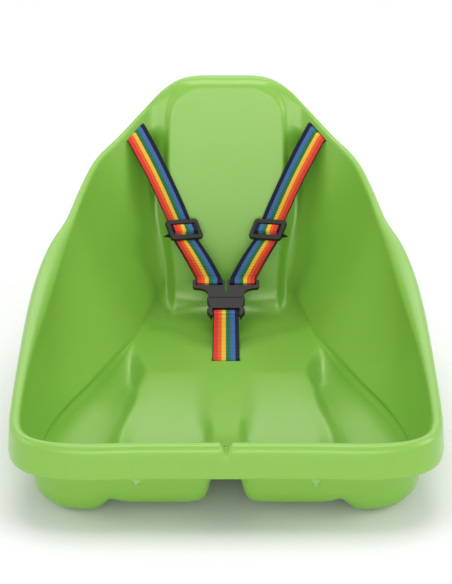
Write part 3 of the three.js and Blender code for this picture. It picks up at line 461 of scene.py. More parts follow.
def floor_point(x, y, foot_x):
    """Point of the floor, raised to the wall's foot inside the fillet's reach."""
    a = FOOT_LINE[:-1, :2]
    u = FOOT_LINE[1:, :2] - a
    q = np.array([abs(x), y])
    t = clamp01(((q - a) * u).sum(1) / (u * u).sum(1))
    d = np.linalg.norm(q - a - u * t[:, None], axis=1)
    i = int(d.argmin())
    station = (i + t[i]) / FOOT_STEPS
    in_well = ease(station - WELL_FRONT_STATION) * (1 - ease((station - WELL_BACK_STATION) / WELL_BACK_RUN))
    fillet = section_at(station)[2] * mix(1, WELL_ROUNDING, in_well)
    reach = clamp01(1 - d[i] / fillet)
    behind = ease((station - BACK_FILLET_STATION) / BACK_FILLET_RUN)
    back_power = mix(BACK_FILLET_POWER, ROUND_POWER, clamp01(abs(x) / PAD_HALF_WIDTH))
    power = mix(ROUND_POWER, back_power, behind)
    rise = 1 - (1 - reach ** power) ** (1 / power)
    z = mix(plain_floor(x, y, foot_x), float(foot_height_at(x, y)), rise)
    near_back = ease(1 - (foot_at(LAST_STATION)[1] - y) / PAD_FOOT_RUN)
    forward = near_back * (pad_at(x, FOOT_HEIGHT) + BACK_LEAN * (FOOT_HEIGHT - z))
    return np.array([x, y - forward, z])


def finer(values, parts):
    """A list of numbers or rows with each interval split into equal parts."""
    v = np.array(values, float)
    out = [v[0]]
    for a, b in zip(v[:-1], v[1:]):
        out += [a + (b - a) * (k + 1) / parts for k in range(parts)]
    return out


def station_across(x, low, high):
    """Station between two others at which the wall's foot lies at x."""
    for _ in range(HALVINGS):
        middle = (low + high) / 2
        if foot_at(middle)[0] < x:
            low = middle
        else:
            high = middle
    return (low + high) / 2


def shell_grid():
    """Points and quads of the inner face, the size of its edge loop and the number of rings."""
    seat = finer(SEAT_COLUMN_SHARES[:2], MIDDLE_PARTS)[:-1] + finer(SEAT_COLUMN_SHARES[1:], SEAT_PARTS)
    pocket = finer([0] + POCKET_COLUMN_SHARES, POCKET_PARTS)[1:]
    columns = len(seat) + len(pocket) - 1
    stations = finer(ROW_SHARES, ROW_PARTS)
    rows = len(stations) - 1
    rolls = finer(ROLL_SHARES, ROLL_PARTS)
    walls = finer([0, WALL_SHARES[0]], WALL_TOP_PARTS)[1:] + finer(WALL_SHARES, WALL_PARTS)[1:]

    def across(k, foot_x, y):
        edge = min(edge_at(y), foot_x * EDGE_LIMIT_SHARE)
        return edge * seat[k] if k < len(seat) else mix(edge, foot_x, pocket[k - len(seat)])

    def station_of(row, column):
        k = abs(column)
        if 0 < row < rows:
            return stations[row]
        corner = FRONT_CORNER if row == 0 else BACK_CORNER
        end = 0 if row == 0 else LAST_STATION
        if k == columns:
            return corner
        if k == 0:
            return end
        foot = foot_at(corner)
        return station_across(across(k, foot[0], foot[1]), end, corner)

    loop = [(0, i) for i in range(columns)] + [(j, columns) for j in range(rows)]
    loop += [(rows, i) for i in range(columns, -columns, -1)] + [(j, -columns) for j in range(rows, 0, -1)]
    loop += [(0, i) for i in range(-columns, 0)]
    sections = []
    for row, column in loop:
        flip = np.array([-1 if column < 0 else 1, 1, 1])
        sections.append([p * flip for p in section_points(station_of(row, column), rolls, walls)])
    rings = len(sections[0])
    points = [sections[i][ring] for ring in range(rings) for i in range(len(loop))]
    index = {key: (rings - 1) * len(loop) + i for i, key in enumerate(loop)}
    front = [foot_at(station_of(0, k))[1] for k in range(columns + 1)]
    back = [foot_at(station_of(rows, k))[1] for k in range(columns + 1)]
    for row in range(1, rows):
        foot = foot_at(stations[row])
        v = (foot[1] - front[columns]) / (back[columns] - front[columns])
        for column in range(1 - columns, columns):
            k = abs(column)
            bend = (1 - v) ** 3 * (front[k] - front[columns]) + v ** 3 * (back[k] - back[columns])
            x = math.copysign(across(k, foot[0], foot[1]), column) if column else 0.0
            index[(row, column)] = len(points)
            points.append(floor_point(x, foot[1] + bend, foot[0]))
    n = len(loop)
    faces = []
    for ring in range(rings - 1):
        for i in range(n):
            j = (i + 1) % n
            faces.append((ring * n + i, ring * n + j, (ring + 1) * n + j, (ring + 1) * n + i))
    for row in range(rows):
        for column in range(-columns, columns):
            corners = [(row, column), (row, column + 1), (row + 1, column + 1), (row + 1, column)]
            faces.append(tuple(index[corner] for corner in corners))
    return np.array(points), faces, n, rings, len(walls)


def point_normals(points, faces):
    normals = np.zeros_like(points)
    f = np.array(faces)
    d1 = points[f[:, 2]] - points[f[:, 0]]
    d2 = points[f[:, 3]] - points[f[:, 1]]
    cross = np.cross(d1, d2)
    for k in range(4):
        np.add.at(normals, f[:, k], cross)
    return normals / np.linalg.norm(normals, axis=1)[:, None]


def make_object(name, points, faces, material=None, smooth=True):
    mesh = bpy.data.meshes.new(name)
    mesh.from_pydata([Vector(p) * MM for p in points], [], [tuple(int(i) for i in f) for f in faces])
    mesh.update()
    obj = bpy.data.objects.new(name, mesh)
    bpy.context.scene.collection.objects.link(obj)
    if smooth:
        mesh.shade_smooth()
    if material is not None:
        mesh.materials.append(material)
    return obj


def face_outward(mesh):
    bm = bmesh.new()
    bm.from_mesh(mesh)
    bmesh.ops.recalc_face_normals(bm, faces=bm.faces)
    bm.to_mesh(mesh)
    bm.free()


def box_object(name, width, depth, height, axes, origin):
    x, y, z = (np.asarray(a, float) for a in axes)
    points = [
        origin + x * sx * width / 2 + y * sy * depth / 2 + z * sz * height / 2
        for sz in (-1, 1) for sx, sy in ((-1, -1), (1, -1), (1, 1), (-1, 1))
    ]
    faces = [(3, 2, 1, 0), (4, 5, 6, 7), (0, 1, 5, 4), (1, 2, 6, 5), (2, 3, 7, 6), (3, 0, 4, 7)]
    return make_object(name, points, faces, smooth=False)


# Strap slots and the frames of the straps.
def wing_slot():
    station = LAST_STATION * STRAP_SLOT_SHARE
    top = wall_top(station)
    down = unit(foot_at(station) - top)
    point = top + down * SLOT_INSET
    tangent = rim_frame(station)[0]
    front = unit(np.cross(tangent, down))
    return {
        "point": point, "width": -tangent, "depth": -front, "across": unit(np.cross(front, tangent)),
        "stop": WALL + STOP_RADIUS + WING_STOP_CLEARANCE,
    }


RIGHT_SLOT = wing_slot()
SEAT_SLOT = {
    "point": np.array([0, CROTCH_SLOT_Y, SEAT_HEIGHT], float), "width": np.array([1.0, 0, 0]),
    "depth": np.array([0, 0, -1.0]), "across": np.array([0, -1.0, 0]),
    "stop": WALL + STOP_RADIUS + SEAT_STOP_CLEARANCE,
}
BUCKLE_T = np.array([0, math.cos(BUCKLE_TILT), math.sin(BUCKLE_TILT)])
BUCKLE_N = np.cross([1.0, 0, 0], BUCKLE_T)


def on_buckle(x, t, n):
    return np.array([x, foot_at(LAST_STATION)[1] - BUCKLE_SETBACK, BUCKLE_Z]) + BUCKLE_T * t + BUCKLE_N * n


LOOP_TOP = TONGUE_TOP - TONGUE_BAR
LOOP_MIDDLE = (CENTRE_GAP / 2 + TONGUE_FRAME + TONGUE_HALF_SPAN - 1.5 * TONGUE_FRAME) / 2
SHOULDER_START = on_buckle(LOOP_MIDDLE, TONGUE_TOP + BEND, 0)
SHOULDER_AXIS = unit(RIGHT_SLOT["point"] - SHOULDER_START)
STRAP_FRONT = np.array([0, -math.cos(STRAP_FACING), math.sin(STRAP_FACING)])


def turned(angle):
    flat = unit(np.cross(SHOULDER_AXIS, STRAP_FRONT))
    return flat * math.cos(angle) + unit(np.cross(flat, SHOULDER_AXIS)) * math.sin(angle)


HEADING = np.array([math.sin(ADJUSTER_HEADING), math.cos(ADJUSTER_HEADING), 0])
ADJUSTER_A = HEADING * math.cos(ADJUSTER_RISE) + np.array([0, 0, math.sin(ADJUSTER_RISE)])
LEVEL = np.array([HEADING[1], -HEADING[0], 0])
ADJUSTER_B = LEVEL * math.cos(ADJUSTER_ROLL) + np.cross(LEVEL, ADJUSTER_A) * math.sin(ADJUSTER_ROLL)
ADJUSTER_M = unit(np.cross(ADJUSTER_B, ADJUSTER_A))
ADJUSTER_MIDDLE_POINT = mix(SHOULDER_START, RIGHT_SLOT["point"], ADJUSTER_SHARE)


def on_adjuster(a, m):
    return ADJUSTER_MIDDLE_POINT + ADJUSTER_A * a + ADJUSTER_M * m


def rounded(corners):
    """Centres and half-width vectors, with each marked corner turned into a short curve."""
    path = []
    for i, corner in enumerate(corners):
        c, w = np.asarray(corner[0], float), np.asarray(corner[1], float)
        turn = corner[2] if len(corner) > 2 else 0
        if not turn or i in (0, len(corners) - 1):
            path.append((c, w))
            continue
        back, on = corners[i - 1][0] - c, corners[i + 1][0] - c
        reach = min(turn, CORNER_REACH_SHARE * np.linalg.norm(back), CORNER_REACH_SHARE * np.linalg.norm(on))
        a, b = c + unit(back) * reach, c + unit(on) * reach
        for k in range(CORNER_STEPS + 1):
            f = k / CORNER_STEPS
            path.append((mix(mix(a, c, f), mix(c, b, f), f), w))
    return path


def stop_wrap(place):
    """Webbing round the stop behind a slot."""
    half = place["width"] * WEBBING / 2
    radius = STOP_RADIUS + BEND
    path = []
    for k in range(WRAP_STEPS + 1):
        angle = math.pi * k / WRAP_STEPS
        c = place["point"] + place["depth"] * (place["stop"] + radius * math.sin(angle))
        path.append((c + place["across"] * radius * (1 - math.cos(angle)), half))
    return path


HALF_ACROSS = [0.25, 0.5, 0.7, 0.85, 0.94, 0.985, 1]
ACROSS = np.array([-s for s in HALF_ACROSS[::-1]] + [0] + HALF_ACROSS)


def ribbon(name, path, material, mirror=False, v_start=0.0):
    """Webbing along a path: a woven band with rounded edges; U runs across it and V along it in metres."""
    dense = [path[0]]
    for (c0, w0), (c1, w1) in zip(path[:-1], path[1:]):
        parts = max(1, int(np.linalg.norm(c1 - c0) / RIBBON_STEP))
        dense += [(mix(c0, c1, k / parts), mix(w0, w1, k / parts)) for k in range(1, parts + 1)]
    count = len(dense)
    side = len(ACROSS)
    to_edge = clamp01((np.abs(ACROSS) - (1 - RIBBON_EDGE_SHARE)) / RIBBON_EDGE_SHARE)
    profile = HALF_STRAP * np.sqrt(1 - to_edge ** 2 * RIBBON_EDGE_THINNING)
    points, uvs, length = [], [], v_start
    for i, (c, w) in enumerate(dense):
        coming = unit(c - dense[max(0, i - 1)][0]) if i else unit(dense[1][0] - c)
        going = unit(dense[min(count - 1, i + 1)][0] - c) if i < count - 1 else coming
        direction = unit(coming + going)
        normal = unit(np.cross(w, direction))
        stretch = 1 / max(SHARPEST_MITRE, float(direction @ coming))
        if i:
            length += np.linalg.norm(c - dense[i - 1][0]) * MM
        for face in (1, -1):
            for s, h in zip(ACROSS, profile):
                points.append(c + w * s + normal * face * h * stretch)
                uvs.append(((s + 1) / 2, length))
    faces = []
    n = 2 * side
    for base in range(0, (count - 1) * n, n):
        pairs = []
        for k in range(side - 1):
            pairs += [(k, k + 1), (side + k + 1, side + k)]
        pairs += [(side, 0), (side - 1, n - 1)]
        faces += [(base + a, base + b, base + n + b, base + n + a) for a, b in pairs]
    for base, flip in ((0, True), ((count - 1) * n, False)):
        for k in range(side - 1):
            f = (base + k, base + k + 1, base + side + k + 1, base + side + k)
            faces.append(f[::-1] if flip else f)
    points = np.array(points)
    if mirror:
        points = points * [-1, 1, 1]
        faces = [f[::-1] for f in faces]
    obj = make_object(name, points, faces, material)
    layer = obj.data.uv_layers.new(name="UVMap")
    for loop in obj.data.loops:
        layer.data[loop.index].uv = uvs[loop.vertex_index]
    face_outward(obj.data)
    obj.data.set_sharp_from_angle(angle=RIBBON_SHARP_ANGLE)
    return obj, length


# Colours and depths of the materials.
GREEN_COLOR = (0.19, 0.43, 0.048)
GREEN_TINT = (1, 0.98, 0.66, 1)
GREEN_SCATTER = (0.6, 1.0, 0.3)
GREEN_ROUGHNESS = (0.31, 0.41)
CHARCOAL_COLOR = (0.019, 0.017, 0.016)
DARK_WEBBING_COLOR = (0.012, 0.012, 0.02)
STRIPE_COLORS = [
    (0.02, 0.018, 0.03), (0.74, 0.045, 0.03), (0.82, 0.12, 0.035), (0.9, 0.5, 0.045),
    (0.02, 0.165, 0.08), (0.062, 0.148, 0.4), (0.012, 0.014, 0.035),
]
CROTCH_STRIPES = [0.0, 0.035, 0.2, 0.335, 0.495, 0.665, 0.845]
SHOULDER_STRIPES = [0.0, 0.03, 0.19, 0.322, 0.48, 0.648, 0.815]
WEBBING_COLOR = (0.7, 0.06, 0.03)
CROTCH_WEFT = 0.0045
SHOULDER_WEFT = 0.0021
WARP = 1 / 26
WARP_SHARE = 0.45
WEAVE_DEPTH = 0.00022
# Height range of the weave and the factors the stripe colour is scaled by from hollow to crest: painted shade
# in the hollows, painted highlight on the crests.
WEAVE_RANGE = (-1.4, 1.4)
WEAVE_PAINTED_SHADING = (0.62, 1.22)


def principled(name, color, roughness, **values):
    material = bpy.data.materials.new(name)
    material.use_nodes = True
    shader = material.node_tree.nodes["Principled BSDF"]
    shader.inputs["Base Color"].default_value = (*color, 1)
    shader.inputs["Roughness"].default_value = roughness
    for key, value in values.items():
        shader.inputs[key.replace("_", " ")].default_value = value
    return material, material.node_tree, shader


def link(tree, a, b):
    tree.links.new(a, b)


def noise_bump(tree, shader, scale, strength, distance, detail):
    coords = tree.nodes.new("ShaderNodeTexCoord")
    noise = tree.nodes.new("ShaderNodeTexNoise")
    noise.inputs["Scale"].default_value = scale
    noise.inputs["Detail"].default_value = detail
    bump = tree.nodes.new("ShaderNodeBump")
    bump.inputs["Strength"].default_value = strength
    bump.inputs["Distance"].default_value = distance
    link(tree, coords.outputs["Object"], noise.inputs["Vector"])
    link(tree, noise.outputs["Fac"], bump.inputs["Height"])
    link(tree, bump.outputs["Normal"], shader.inputs["Normal"])
    return noise


def map_range(tree, source, before, after):
    node = tree.nodes.new("ShaderNodeMapRange")
    node.inputs["From Min"].default_value, node.inputs["From Max"].default_value = before
    node.inputs["To Min"].default_value, node.inputs["To Max"].default_value = after
    link(tree, source, node.inputs["Value"])
    return node


def green_plastic():
    material, tree, shader = principled(
        "green_polyethylene", GREEN_COLOR, 0.38, Specular_IOR_Level=0.7, Specular_Tint=GREEN_TINT,
        Subsurface_Weight=0.15, Subsurface_Scale=0.01, Subsurface_Radius=GREEN_SCATTER,
        Coat_Weight=0.3, Coat_Roughness=0.2,
    )
    noise = noise_bump(tree, shader, scale=9, strength=0.1, distance=0.002, detail=2)
    roughness = map_range(tree, noise.outputs["Fac"], (0, 1), GREEN_ROUGHNESS)
    link(tree, roughness.outputs["Result"], shader.inputs["Roughness"])
    return material


def charcoal_plastic():
    material, tree, shader = principled("charcoal_nylon", CHARCOAL_COLOR, 0.5, Specular_IOR_Level=0.28)
    noise_bump(tree, shader, scale=900, strength=0.25, distance=0.0002, detail=4)
    return material


def dark_webbing():
    material, tree, shader = principled("dark_webbing", DARK_WEBBING_COLOR, 0.85, Specular_IOR_Level=0.2)
    noise_bump(tree, shader, scale=1400, strength=0.4, distance=0.0002, detail=3)
    return material


def webbing_material(name, stripes, mirrored, weft_pitch):
    """Striped webbing: the stripes follow U, and a weave in U and V embosses them and paints shade into its
    hollows and a highlight onto its crests.
    """
    material, tree, shader = principled(name, WEBBING_COLOR, 0.8, Specular_IOR_Level=0.2)
    nodes = tree.nodes
    uv = nodes.new("ShaderNodeUVMap")
    uv.uv_map = "UVMap"
    split = nodes.new("ShaderNodeSeparateXYZ")
    link(tree, uv.outputs["UV"], split.inputs["Vector"])
    across = split.outputs["X"]
    if mirrored:
        turn = nodes.new("ShaderNodeMath")
        turn.operation = "SUBTRACT"
        turn.inputs[0].default_value = 1
        link(tree, across, turn.inputs[1])
        across = turn.outputs["Value"]
    ramp = nodes.new("ShaderNodeValToRGB")
    ramp.color_ramp.interpolation = "CONSTANT"
    elements = ramp.color_ramp.elements
    for position in stripes[2:]:
        elements.new(position)
    for element, position, color in zip(elements, stripes, STRIPE_COLORS):
        element.position = position
        element.color = (*color, 1)
    link(tree, across, ramp.inputs["Fac"])

    def wave(source, pitch):
        scaled = nodes.new("ShaderNodeMath")
        scaled.operation = "MULTIPLY"
        scaled.inputs[1].default_value = 2 * math.pi / pitch
        sine = nodes.new("ShaderNodeMath")
        sine.operation = "SINE"
        link(tree, source, scaled.inputs[0])
        link(tree, scaled.outputs["Value"], sine.inputs[0])
        return sine.outputs["Value"]

    warp = wave(split.outputs["X"], WARP)
    weft = wave(split.outputs["Y"], weft_pitch)
    product = nodes.new("ShaderNodeMath")
    product.operation = "MULTIPLY"
    link(tree, warp, product.inputs[0])
    link(tree, weft, product.inputs[1])
    height = nodes.new("ShaderNodeMath")
    height.operation = "MULTIPLY_ADD"
    height.inputs[1].default_value = WARP_SHARE
    link(tree, product.outputs["Value"], height.inputs[0])
    link(tree, weft, height.inputs[2])
    bump = nodes.new("ShaderNodeBump")
    bump.inputs["Strength"].default_value = 0.75
    bump.inputs["Distance"].default_value = WEAVE_DEPTH
    link(tree, height.outputs["Value"], bump.inputs["Height"])
    link(tree, bump.outputs["Normal"], shader.inputs["Normal"])
    # Painted shade and highlight: the weave's height darkens the stripe colour in its hollows and lightens it
    # on its crests.
    dark = map_range(tree, height.outputs["Value"], WEAVE_RANGE, WEAVE_PAINTED_SHADING)
    shade = nodes.new("ShaderNodeVectorMath")
    shade.operation = "SCALE"
    link(tree, ramp.outputs["Color"], shade.inputs[0])
    link(tree, dark.outputs["Result"], shade.inputs["Scale"])
    link(tree, shade.outputs["Vector"], shader.inputs["Base Color"])
    return material


GREEN = green_plastic()
DARK_WEBBING = dark_webbing()
CHARCOAL = charcoal_plastic()
WOVEN_SHOULDER = webbing_material("striped_webbing_mirrored", SHOULDER_STRIPES, True, SHOULDER_WEFT)
WOVEN_CROTCH = webbing_material("striped_webbing_crotch", CROTCH_STRIPES, False, CROTCH_WEFT)


def add_slots_and_holes(shell):
    """Cuts the strap slots and rope holes into the shell with one boolean."""
    cutters = bpy.data.collections.new("cutters")
    bpy.context.scene.collection.children.link(cutters)

    def cutter(obj):
        bpy.context.scene.collection.objects.unlink(obj)
        cutters.objects.link(obj)
        obj.hide_render = True
        obj.hide_viewport = False
        obj.display_type = "WIRE"

    size = (WEBBING + SLOT_PLAY, SLOT_HEIGHT, CUT_DEPTH)
    width, depth, point = RIGHT_SLOT["width"], RIGHT_SLOT["depth"], RIGHT_SLOT["point"]
    for side in (-1, 1):
        flip = np.array([side, 1, 1])
        axes = [width * flip, np.cross(depth, width) * flip, depth * flip]
        cutter(box_object(f"cut_wing_{side}", *size, axes, point * flip))
        bpy.ops.mesh.primitive_cylinder_add(
            vertices=HOLE_SIDES, radius=ROPE_HOLE_RADIUS * MM, depth=2 * FILLET_RADIUS * MM,
            location=(side * ROPE_HOLE_SPAN / 2 * MM, foot_at(0)[1] * MM, ROPE_HOLE_HEIGHT * MM),
            rotation=(math.pi / 2, 0, 0),
        )
        cutter(bpy.context.object)
    cutter(box_object("cut_seat", *size, np.eye(3), SEAT_SLOT["point"]))
    boolean = shell.modifiers.new("cuts", "BOOLEAN")
    boolean.operand_type = "COLLECTION"
    boolean.collection = cutters
    boolean.solver = "EXACT"
    bpy.context.view_layer.update()
    evaluated = shell.evaluated_get(bpy.context.evaluated_depsgraph_get())
    final = bpy.data.meshes.new_from_object(evaluated)
    shell.modifiers.clear()
    shell.data = final
    for obj in list(cutters.objects):
        bpy.data.objects.remove(obj, do_unlink=True)
    bpy.data.collections.remove(cutters)


def build_shell():
    """The fine inner face, its offset and the edge between them, smoothed and cut."""
    points, faces, n, rings, walls = shell_grid()
    normals = point_normals(points, faces)
    if normals[rings * n:, 2].mean() < 0:
        normals = -normals
    count = len(points)
    roll_end = (rings - walls - 1) * n
    thickness = np.where(np.arange(count) < roll_end, SKIRT_WALL, WALL)
    under = points - normals * thickness[:, None]
    quads = [f[::-1] for f in faces] + [tuple(i + count for i in f) for f in faces]
    for i in range(n):
        j = (i + 1) % n
        quads.append((i, j, j + count, i + count))
    all_points = np.vstack([points, under])
    all_points[:, 2] = np.maximum(all_points[:, 2], 0)
    shell = make_object("shell", all_points, quads, GREEN)
    face_outward(shell.data)
    smooth = shell.modifiers.new("smooth", "SUBSURF")
    smooth.levels = smooth.render_levels = 1
    add_slots_and_holes(shell)
    shell.data.shade_smooth()
    shell.data.set_sharp_from_angle(angle=SHELL_SHARP_ANGLE)
    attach(shell, "sled")
    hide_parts("sled_shell")


def crotch_path():
    """Crotch strap from its sewn tail round the housing's bar and through the seat to its stop."""
    w = np.array([WEBBING / 2, 0, 0])
    out = BAR_THICKNESS / 2 + BEND + GAP / 2
    bar_top = -(PLATE_LENGTH + HOUSING_SLOT)
    bar_bottom = bar_top - BAR_LENGTH
    main = on_buckle(0, bar_bottom - GAP, out)
    seat = SEAT_SLOT["point"] + np.array([0, 0, BEND + 2 * GAP])
    away = unit(seat - main)
    under = unit(np.cross(away, [1, 0, 0]))
    under = under if under[2] < 0 else -under
    spacing = WEBBING_THICKNESS + GAP
    tail_end = main + away * (TAIL_LENGTH + 2 * BAR_LENGTH) + under * spacing
    tail_start = main + away * 2 * BAR_LENGTH + under * (spacing + GAP)
    round_bar = [
        (bar_bottom - GAP, -out - GAP), (bar_top + BEND, -out), (bar_top + BEND, out),
        (bar_bottom, out), (bar_bottom - PINCH_DROP, out - PINCH_DEPTH),
    ]
    corners = [(tail_end, w), (tail_start, w, SLOT_TURN)]
    corners += [(on_buckle(0, t, n), w, STRAP_TURN) for t, n in round_bar]
    corners += [(seat, w, SLOT_TURN), (SEAT_SLOT["point"] - np.array([0, 0, WALL]), w)]
    return rounded(corners) + stop_wrap(SEAT_SLOT)


def shoulder_paths():
    """Parts of the right shoulder strap, each from its upper end down."""
    half = WEBBING / 2
    w_middle, w_turned = ADJUSTER_B * half, turned(SHOULDER_TURN) * half
    w_bar, w_slot = np.array([half, 0, 0]), RIGHT_SLOT["width"] * half
    wrap_m = ADJUSTER_MIDDLE_THICKNESS / 2 + BEND
    wrap_a = ADJUSTER_MIDDLE / 2 + BEND
    over_m = wrap_m + WEBBING_THICKNESS + GAP
    layer = WEBBING_THICKNESS + 2 * GAP
    under_m = -(ADJUSTER_THICKNESS / 2 + BEND)
    edge = ADJUSTER_HEIGHT / 2 + 2 * GAP
    near = wrap_a + HALF_STRAP + ADJUSTER_LEAD / 2
    far = wrap_a + HALF_STRAP + 2 * ADJUSTER_LEAD
    bar_out = TONGUE_THICKNESS / 2 + BEND
    top_t, slot_t = TONGUE_TOP + BEND, LOOP_TOP - BEND

    def at_adjuster(a, m, *turn):
        return (on_adjuster(a, m), w_middle, *turn)

    def at_bar(t, m, turn):
        return on_buckle(LOOP_MIDDLE, t, m), w_bar, turn

    def lower(share, side):
        start = on_adjuster(-edge, under_m - (layer if side < 0 else 0))
        p = mix(start, on_buckle(LOOP_MIDDLE, top_t, side * bar_out), share)
        w = unit(mix(w_middle, w_bar, ease(share))) * half
        return p + ADJUSTER_M * STRAP_BOW * math.sin(math.pi * share), w

    upper_run = RIGHT_SLOT["point"] - on_adjuster(edge, under_m)

    def upper(share):
        p = on_adjuster(edge, under_m) + upper_run * share
        p = p + RIGHT_SLOT["depth"] * (-BEND * 2 * ease(share) - STRAP_LIFT * math.sin(math.pi * share))
        w = mix(w_middle, w_turned, ease(UPPER_TURN_RATE * share))
        flatten = ease((share - UPPER_FLATTEN_SHARE) / (1 - UPPER_FLATTEN_SHARE))
        return p, unit(mix(w, w_slot, flatten)) * half

    free = [at_adjuster(edge, under_m)] + [upper(s) for s in UPPER_SHARES]
    free += [
        (RIGHT_SLOT["point"] - RIGHT_SLOT["depth"] * BEND * 2, w_slot, SLOT_TURN),
        (RIGHT_SLOT["point"] + RIGHT_SLOT["depth"] * WALL, w_slot),
    ]
    patch = [
        at_adjuster(edge, under_m), at_adjuster(far, under_m, STRAP_TURN),
        at_adjuster(near, over_m, STRAP_TURN), at_adjuster(-near, over_m, STRAP_TURN),
        at_adjuster(-far, under_m, STRAP_TURN), at_adjuster(-edge, under_m),
    ]
    sewn = [
        at_adjuster(-edge, under_m - layer), at_adjuster(-far, under_m - layer, STRAP_TURN),
        at_adjuster(-wrap_a, -wrap_m, STRAP_TURN), at_adjuster(wrap_a, -wrap_m, STRAP_TURN),
        at_adjuster(wrap_a, wrap_m, STRAP_TURN), at_adjuster(-wrap_a / 2, wrap_m),
    ]
    split = int(len(LOWER_SHARES) * LOWER_SPLIT_SHARE)
    front = [lower(s, 1) for s in LOWER_SHARES[: split + 1]]
    back = [lower(s, -1) for s in LOWER_SHARES[split::-1]]
    loop = [lower(s, 1) for s in LOWER_SHARES[split:-1]]
    loop += [
        at_bar(top_t, bar_out, SLOT_TURN), at_bar(slot_t, bar_out, STRAP_TURN),
        at_bar(slot_t, -bar_out, STRAP_TURN), at_bar(top_t, -bar_out, SLOT_TURN),
    ]
    loop += [lower(s, -1) for s in LOWER_SHARES[-2:split - 1:-1]]
    ends = {
        "slot": RIGHT_SLOT["point"], "top": on_adjuster(edge, 0), "bottom": on_adjuster(-edge, 0),
        "split": lower(LOWER_SHARES[split], 1)[0], "bar": on_buckle(LOOP_MIDDLE, TONGUE_TOP, 0),
    }
    parts = [
        ("free", (rounded(free) + stop_wrap(RIGHT_SLOT))[::-1], "slot", "top"),
        ("patch", rounded(patch), None, None),
        ("front", front, "bottom", "split"),
        ("loop", rounded(loop), "split", "bar"),
        ("back", back, "bottom", "split"),
        ("sewn", rounded(sewn), None, None),
    ]
    return parts, ends


def build_harness():
    crotch, _ = ribbon("crotch_webbing", crotch_path(), WOVEN_CROTCH)
    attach(crotch, "sled")
    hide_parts("crotch_strap")
    parts, ends = shoulder_paths()
    for side, mirror in (("right", False), ("left", True)):
        start = 0.0
        for key, path, first, last in parts:
            piece, start = ribbon(f"{side}_webbing_{key}", path, WOVEN_SHOULDER, mirror, start)
            if key == "free":
                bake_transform(piece)
                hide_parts(f"{side}_shoulder_strap")
            elif key == "loop":
                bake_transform(piece)
            elif first:
                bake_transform(piece)
            else:
                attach(piece, f"{side}_adjuster")


def build_strap_tips():
    """Dark folded end of each shoulder strap's loop, showing beside its adjuster."""
    half = WEBBING_THICKNESS / 2
    back = -(ADJUSTER_THICKNESS / 2 + GAP + half)
    side_edge = ADJUSTER_WIDTH / 2
    corners = [
        (side_edge - TIP_INSET, TIP_TOP), (side_edge - TIP_INSET, TIP_BOTTOM),
        (side_edge + TIP_OVERHANG, TIP_POINT),
    ]
    faces = [(0, 1, 2), (5, 4, 3), (0, 3, 4, 1), (1, 4, 5, 2), (2, 5, 3, 0)]
    for side, mirror in (("right", 1), ("left", -1)):
        points = [
            (on_adjuster(a, back + layer * half) + ADJUSTER_B * b) * [mirror, 1, 1]
            for layer in (1, -1) for b, a in corners
        ]
        tip = make_object(f"{side}_strap_tip", points, faces, DARK_WEBBING, smooth=False)
        face_outward(tip.data)
        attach(tip, f"{side}_adjuster")


def dress_cad(name, bevelled):
    """Gives a CAD object the charcoal plastic and, where it shows, rounded edges."""
    obj = bpy.data.objects[name]
    obj.data.materials.clear()
    obj.data.materials.append(CHARCOAL)
    if bevelled:
        bevel = obj.modifiers.new("bevel", "BEVEL")
        bevel.width = BEVEL * MM
        bevel.segments = BEVEL_SEGMENTS
        bevel.limit_method = "ANGLE"
        bevel.angle_limit = BEVEL_ANGLE
        bevel.harden_normals = False


build_shell()
build_harness()
build_strap_tips()
dress_cad("buckle_housing", True)
dress_cad("crotch_strap_stop", False)
for side in ("left", "right"):
    for name in ("buckle_tongue", "release_prong", "adjuster"):
        dress_cad(f"{side}_{name}", True)
    dress_cad(f"{side}_strap_stop", False)


# Floor, lights and camera, in metres and watts.
FLOOR_SIZE = 14
FLOOR_COLOR = (0.9, 0.9, 0.9)
FADE_RANGE = (0.3, 0.75)
SOFT_STRENGTH = 0.62
WHITE = (1, 1, 1, 1)
LIGHTS = [
    ("top_light", (0, 0, 1.9), (0, 0, 0), (1.4, 1.2), 15),
    ("back_light", (0, 1.5, 1.45), (0, -0.1, 0.05), (2.0, 0.9), 5),
    ("front_light", (0, -2.5, 0.66), (0, 0.2, 0.15), (2.3, 1.25), 25),
    ("left_light", (-1.8, -0.2, 0.9), (0, 0, 0.1), (1.0, 1.0), 4),
    ("right_light", (1.8, -0.3, 0.9), (0, 0, 0.1), (0.8, 1.0), 8),
]
SENSOR_HEIGHT = 24
LENS = 67.51
CAMERA_DISTANCE = 1.7316
CAMERA_ELEVATION = math.radians(20.5)
CAMERA_TARGET = (0, -0.0066, 0.1212)
CLIP_RANGE = (0.05, 50)


def white_where_seen(tree):
    """Value that is 1 for camera, glossy and transmission rays and 0 for the rest."""
    path = tree.nodes.new("ShaderNodeLightPath")
    seen = path.outputs["Is Camera Ray"]
    for name in ("Is Glossy Ray", "Is Transmission Ray"):
        larger = tree.nodes.new("ShaderNodeMath")
        larger.operation = "MAXIMUM"
        link(tree, seen, larger.inputs[0])
        link(tree, path.outputs[name], larger.inputs[1])
        seen = larger.outputs["Value"]
    return seen


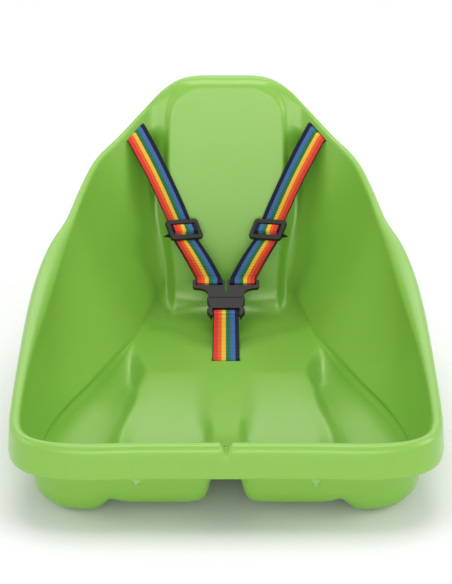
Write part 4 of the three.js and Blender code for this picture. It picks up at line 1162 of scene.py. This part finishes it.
def build_floor():
    """Pale floor that keeps the object's shadow and fades to plain white round it."""
    bpy.ops.mesh.primitive_plane_add(size=FLOOR_SIZE, location=(0, 0, 0))
    floor = bpy.context.object
    floor.name = "floor"
    pale, tree, shader = principled("pale_floor", FLOOR_COLOR, 0.9, Specular_IOR_Level=0.1)
    coords = tree.nodes.new("ShaderNodeTexCoord")
    reach = tree.nodes.new("ShaderNodeVectorMath")
    reach.operation = "LENGTH"
    link(tree, coords.outputs["Object"], reach.inputs[0])
    fade = map_range(tree, reach.outputs["Value"], FADE_RANGE, (0, 1))
    fade.interpolation_type = "SMOOTHSTEP"
    share = tree.nodes.new("ShaderNodeMath")
    share.operation = "MULTIPLY"
    link(tree, white_where_seen(tree), share.inputs[0])
    link(tree, fade.outputs["Result"], share.inputs[1])
    white = tree.nodes.new("ShaderNodeEmission")
    white.inputs["Color"].default_value = WHITE
    white.inputs["Strength"].default_value = 1
    both = tree.nodes.new("ShaderNodeMixShader")
    link(tree, share.outputs["Value"], both.inputs["Fac"])
    link(tree, shader.outputs["BSDF"], both.inputs[1])
    link(tree, white.outputs["Emission"], both.inputs[2])
    link(tree, both.outputs["Shader"], tree.nodes["Material Output"].inputs["Surface"])
    floor.data.materials.append(pale)


def build_world():
    world = bpy.data.worlds.new("studio")
    bpy.context.scene.world = world
    world.use_nodes = True
    tree = world.node_tree
    soft = tree.nodes["Background"]
    soft.inputs["Color"].default_value = WHITE
    soft.inputs["Strength"].default_value = SOFT_STRENGTH
    white = tree.nodes.new("ShaderNodeBackground")
    white.inputs["Color"].default_value = WHITE
    white.inputs["Strength"].default_value = 1
    both = tree.nodes.new("ShaderNodeMixShader")
    link(tree, white_where_seen(tree), both.inputs["Fac"])
    link(tree, soft.outputs["Background"], both.inputs[1])
    link(tree, white.outputs["Background"], both.inputs[2])
    link(tree, both.outputs["Shader"], tree.nodes["World Output"].inputs["Surface"])


def area_light(name, location, aim, size, power):
    light = bpy.data.lights.new(name, "AREA")
    light.shape = "RECTANGLE"
    light.size, light.size_y = size
    light.energy = power
    obj = bpy.data.objects.new(name, light)
    bpy.context.scene.collection.objects.link(obj)
    obj.location = location
    obj.rotation_mode = "QUATERNION"
    obj.rotation_quaternion = (Vector(aim) - Vector(location)).to_track_quat("-Z", "Y")


def build_camera():
    camera = bpy.data.cameras.new("camera")
    camera.sensor_fit = "VERTICAL"
    camera.sensor_height = SENSOR_HEIGHT
    camera.lens = LENS
    camera.clip_start, camera.clip_end = CLIP_RANGE
    obj = bpy.data.objects.new("camera", camera)
    bpy.context.scene.collection.objects.link(obj)
    back = Vector((0, -math.cos(CAMERA_ELEVATION), math.sin(CAMERA_ELEVATION)))
    obj.location = Vector(CAMERA_TARGET) + back * CAMERA_DISTANCE
    obj.rotation_euler = (math.pi / 2 - CAMERA_ELEVATION, 0, 0)
    bpy.context.scene.camera = obj


build_floor()
build_world()
for light in LIGHTS:
    area_light(*light)
build_camera()
bpy.context.scene.view_settings.view_transform = "Standard"
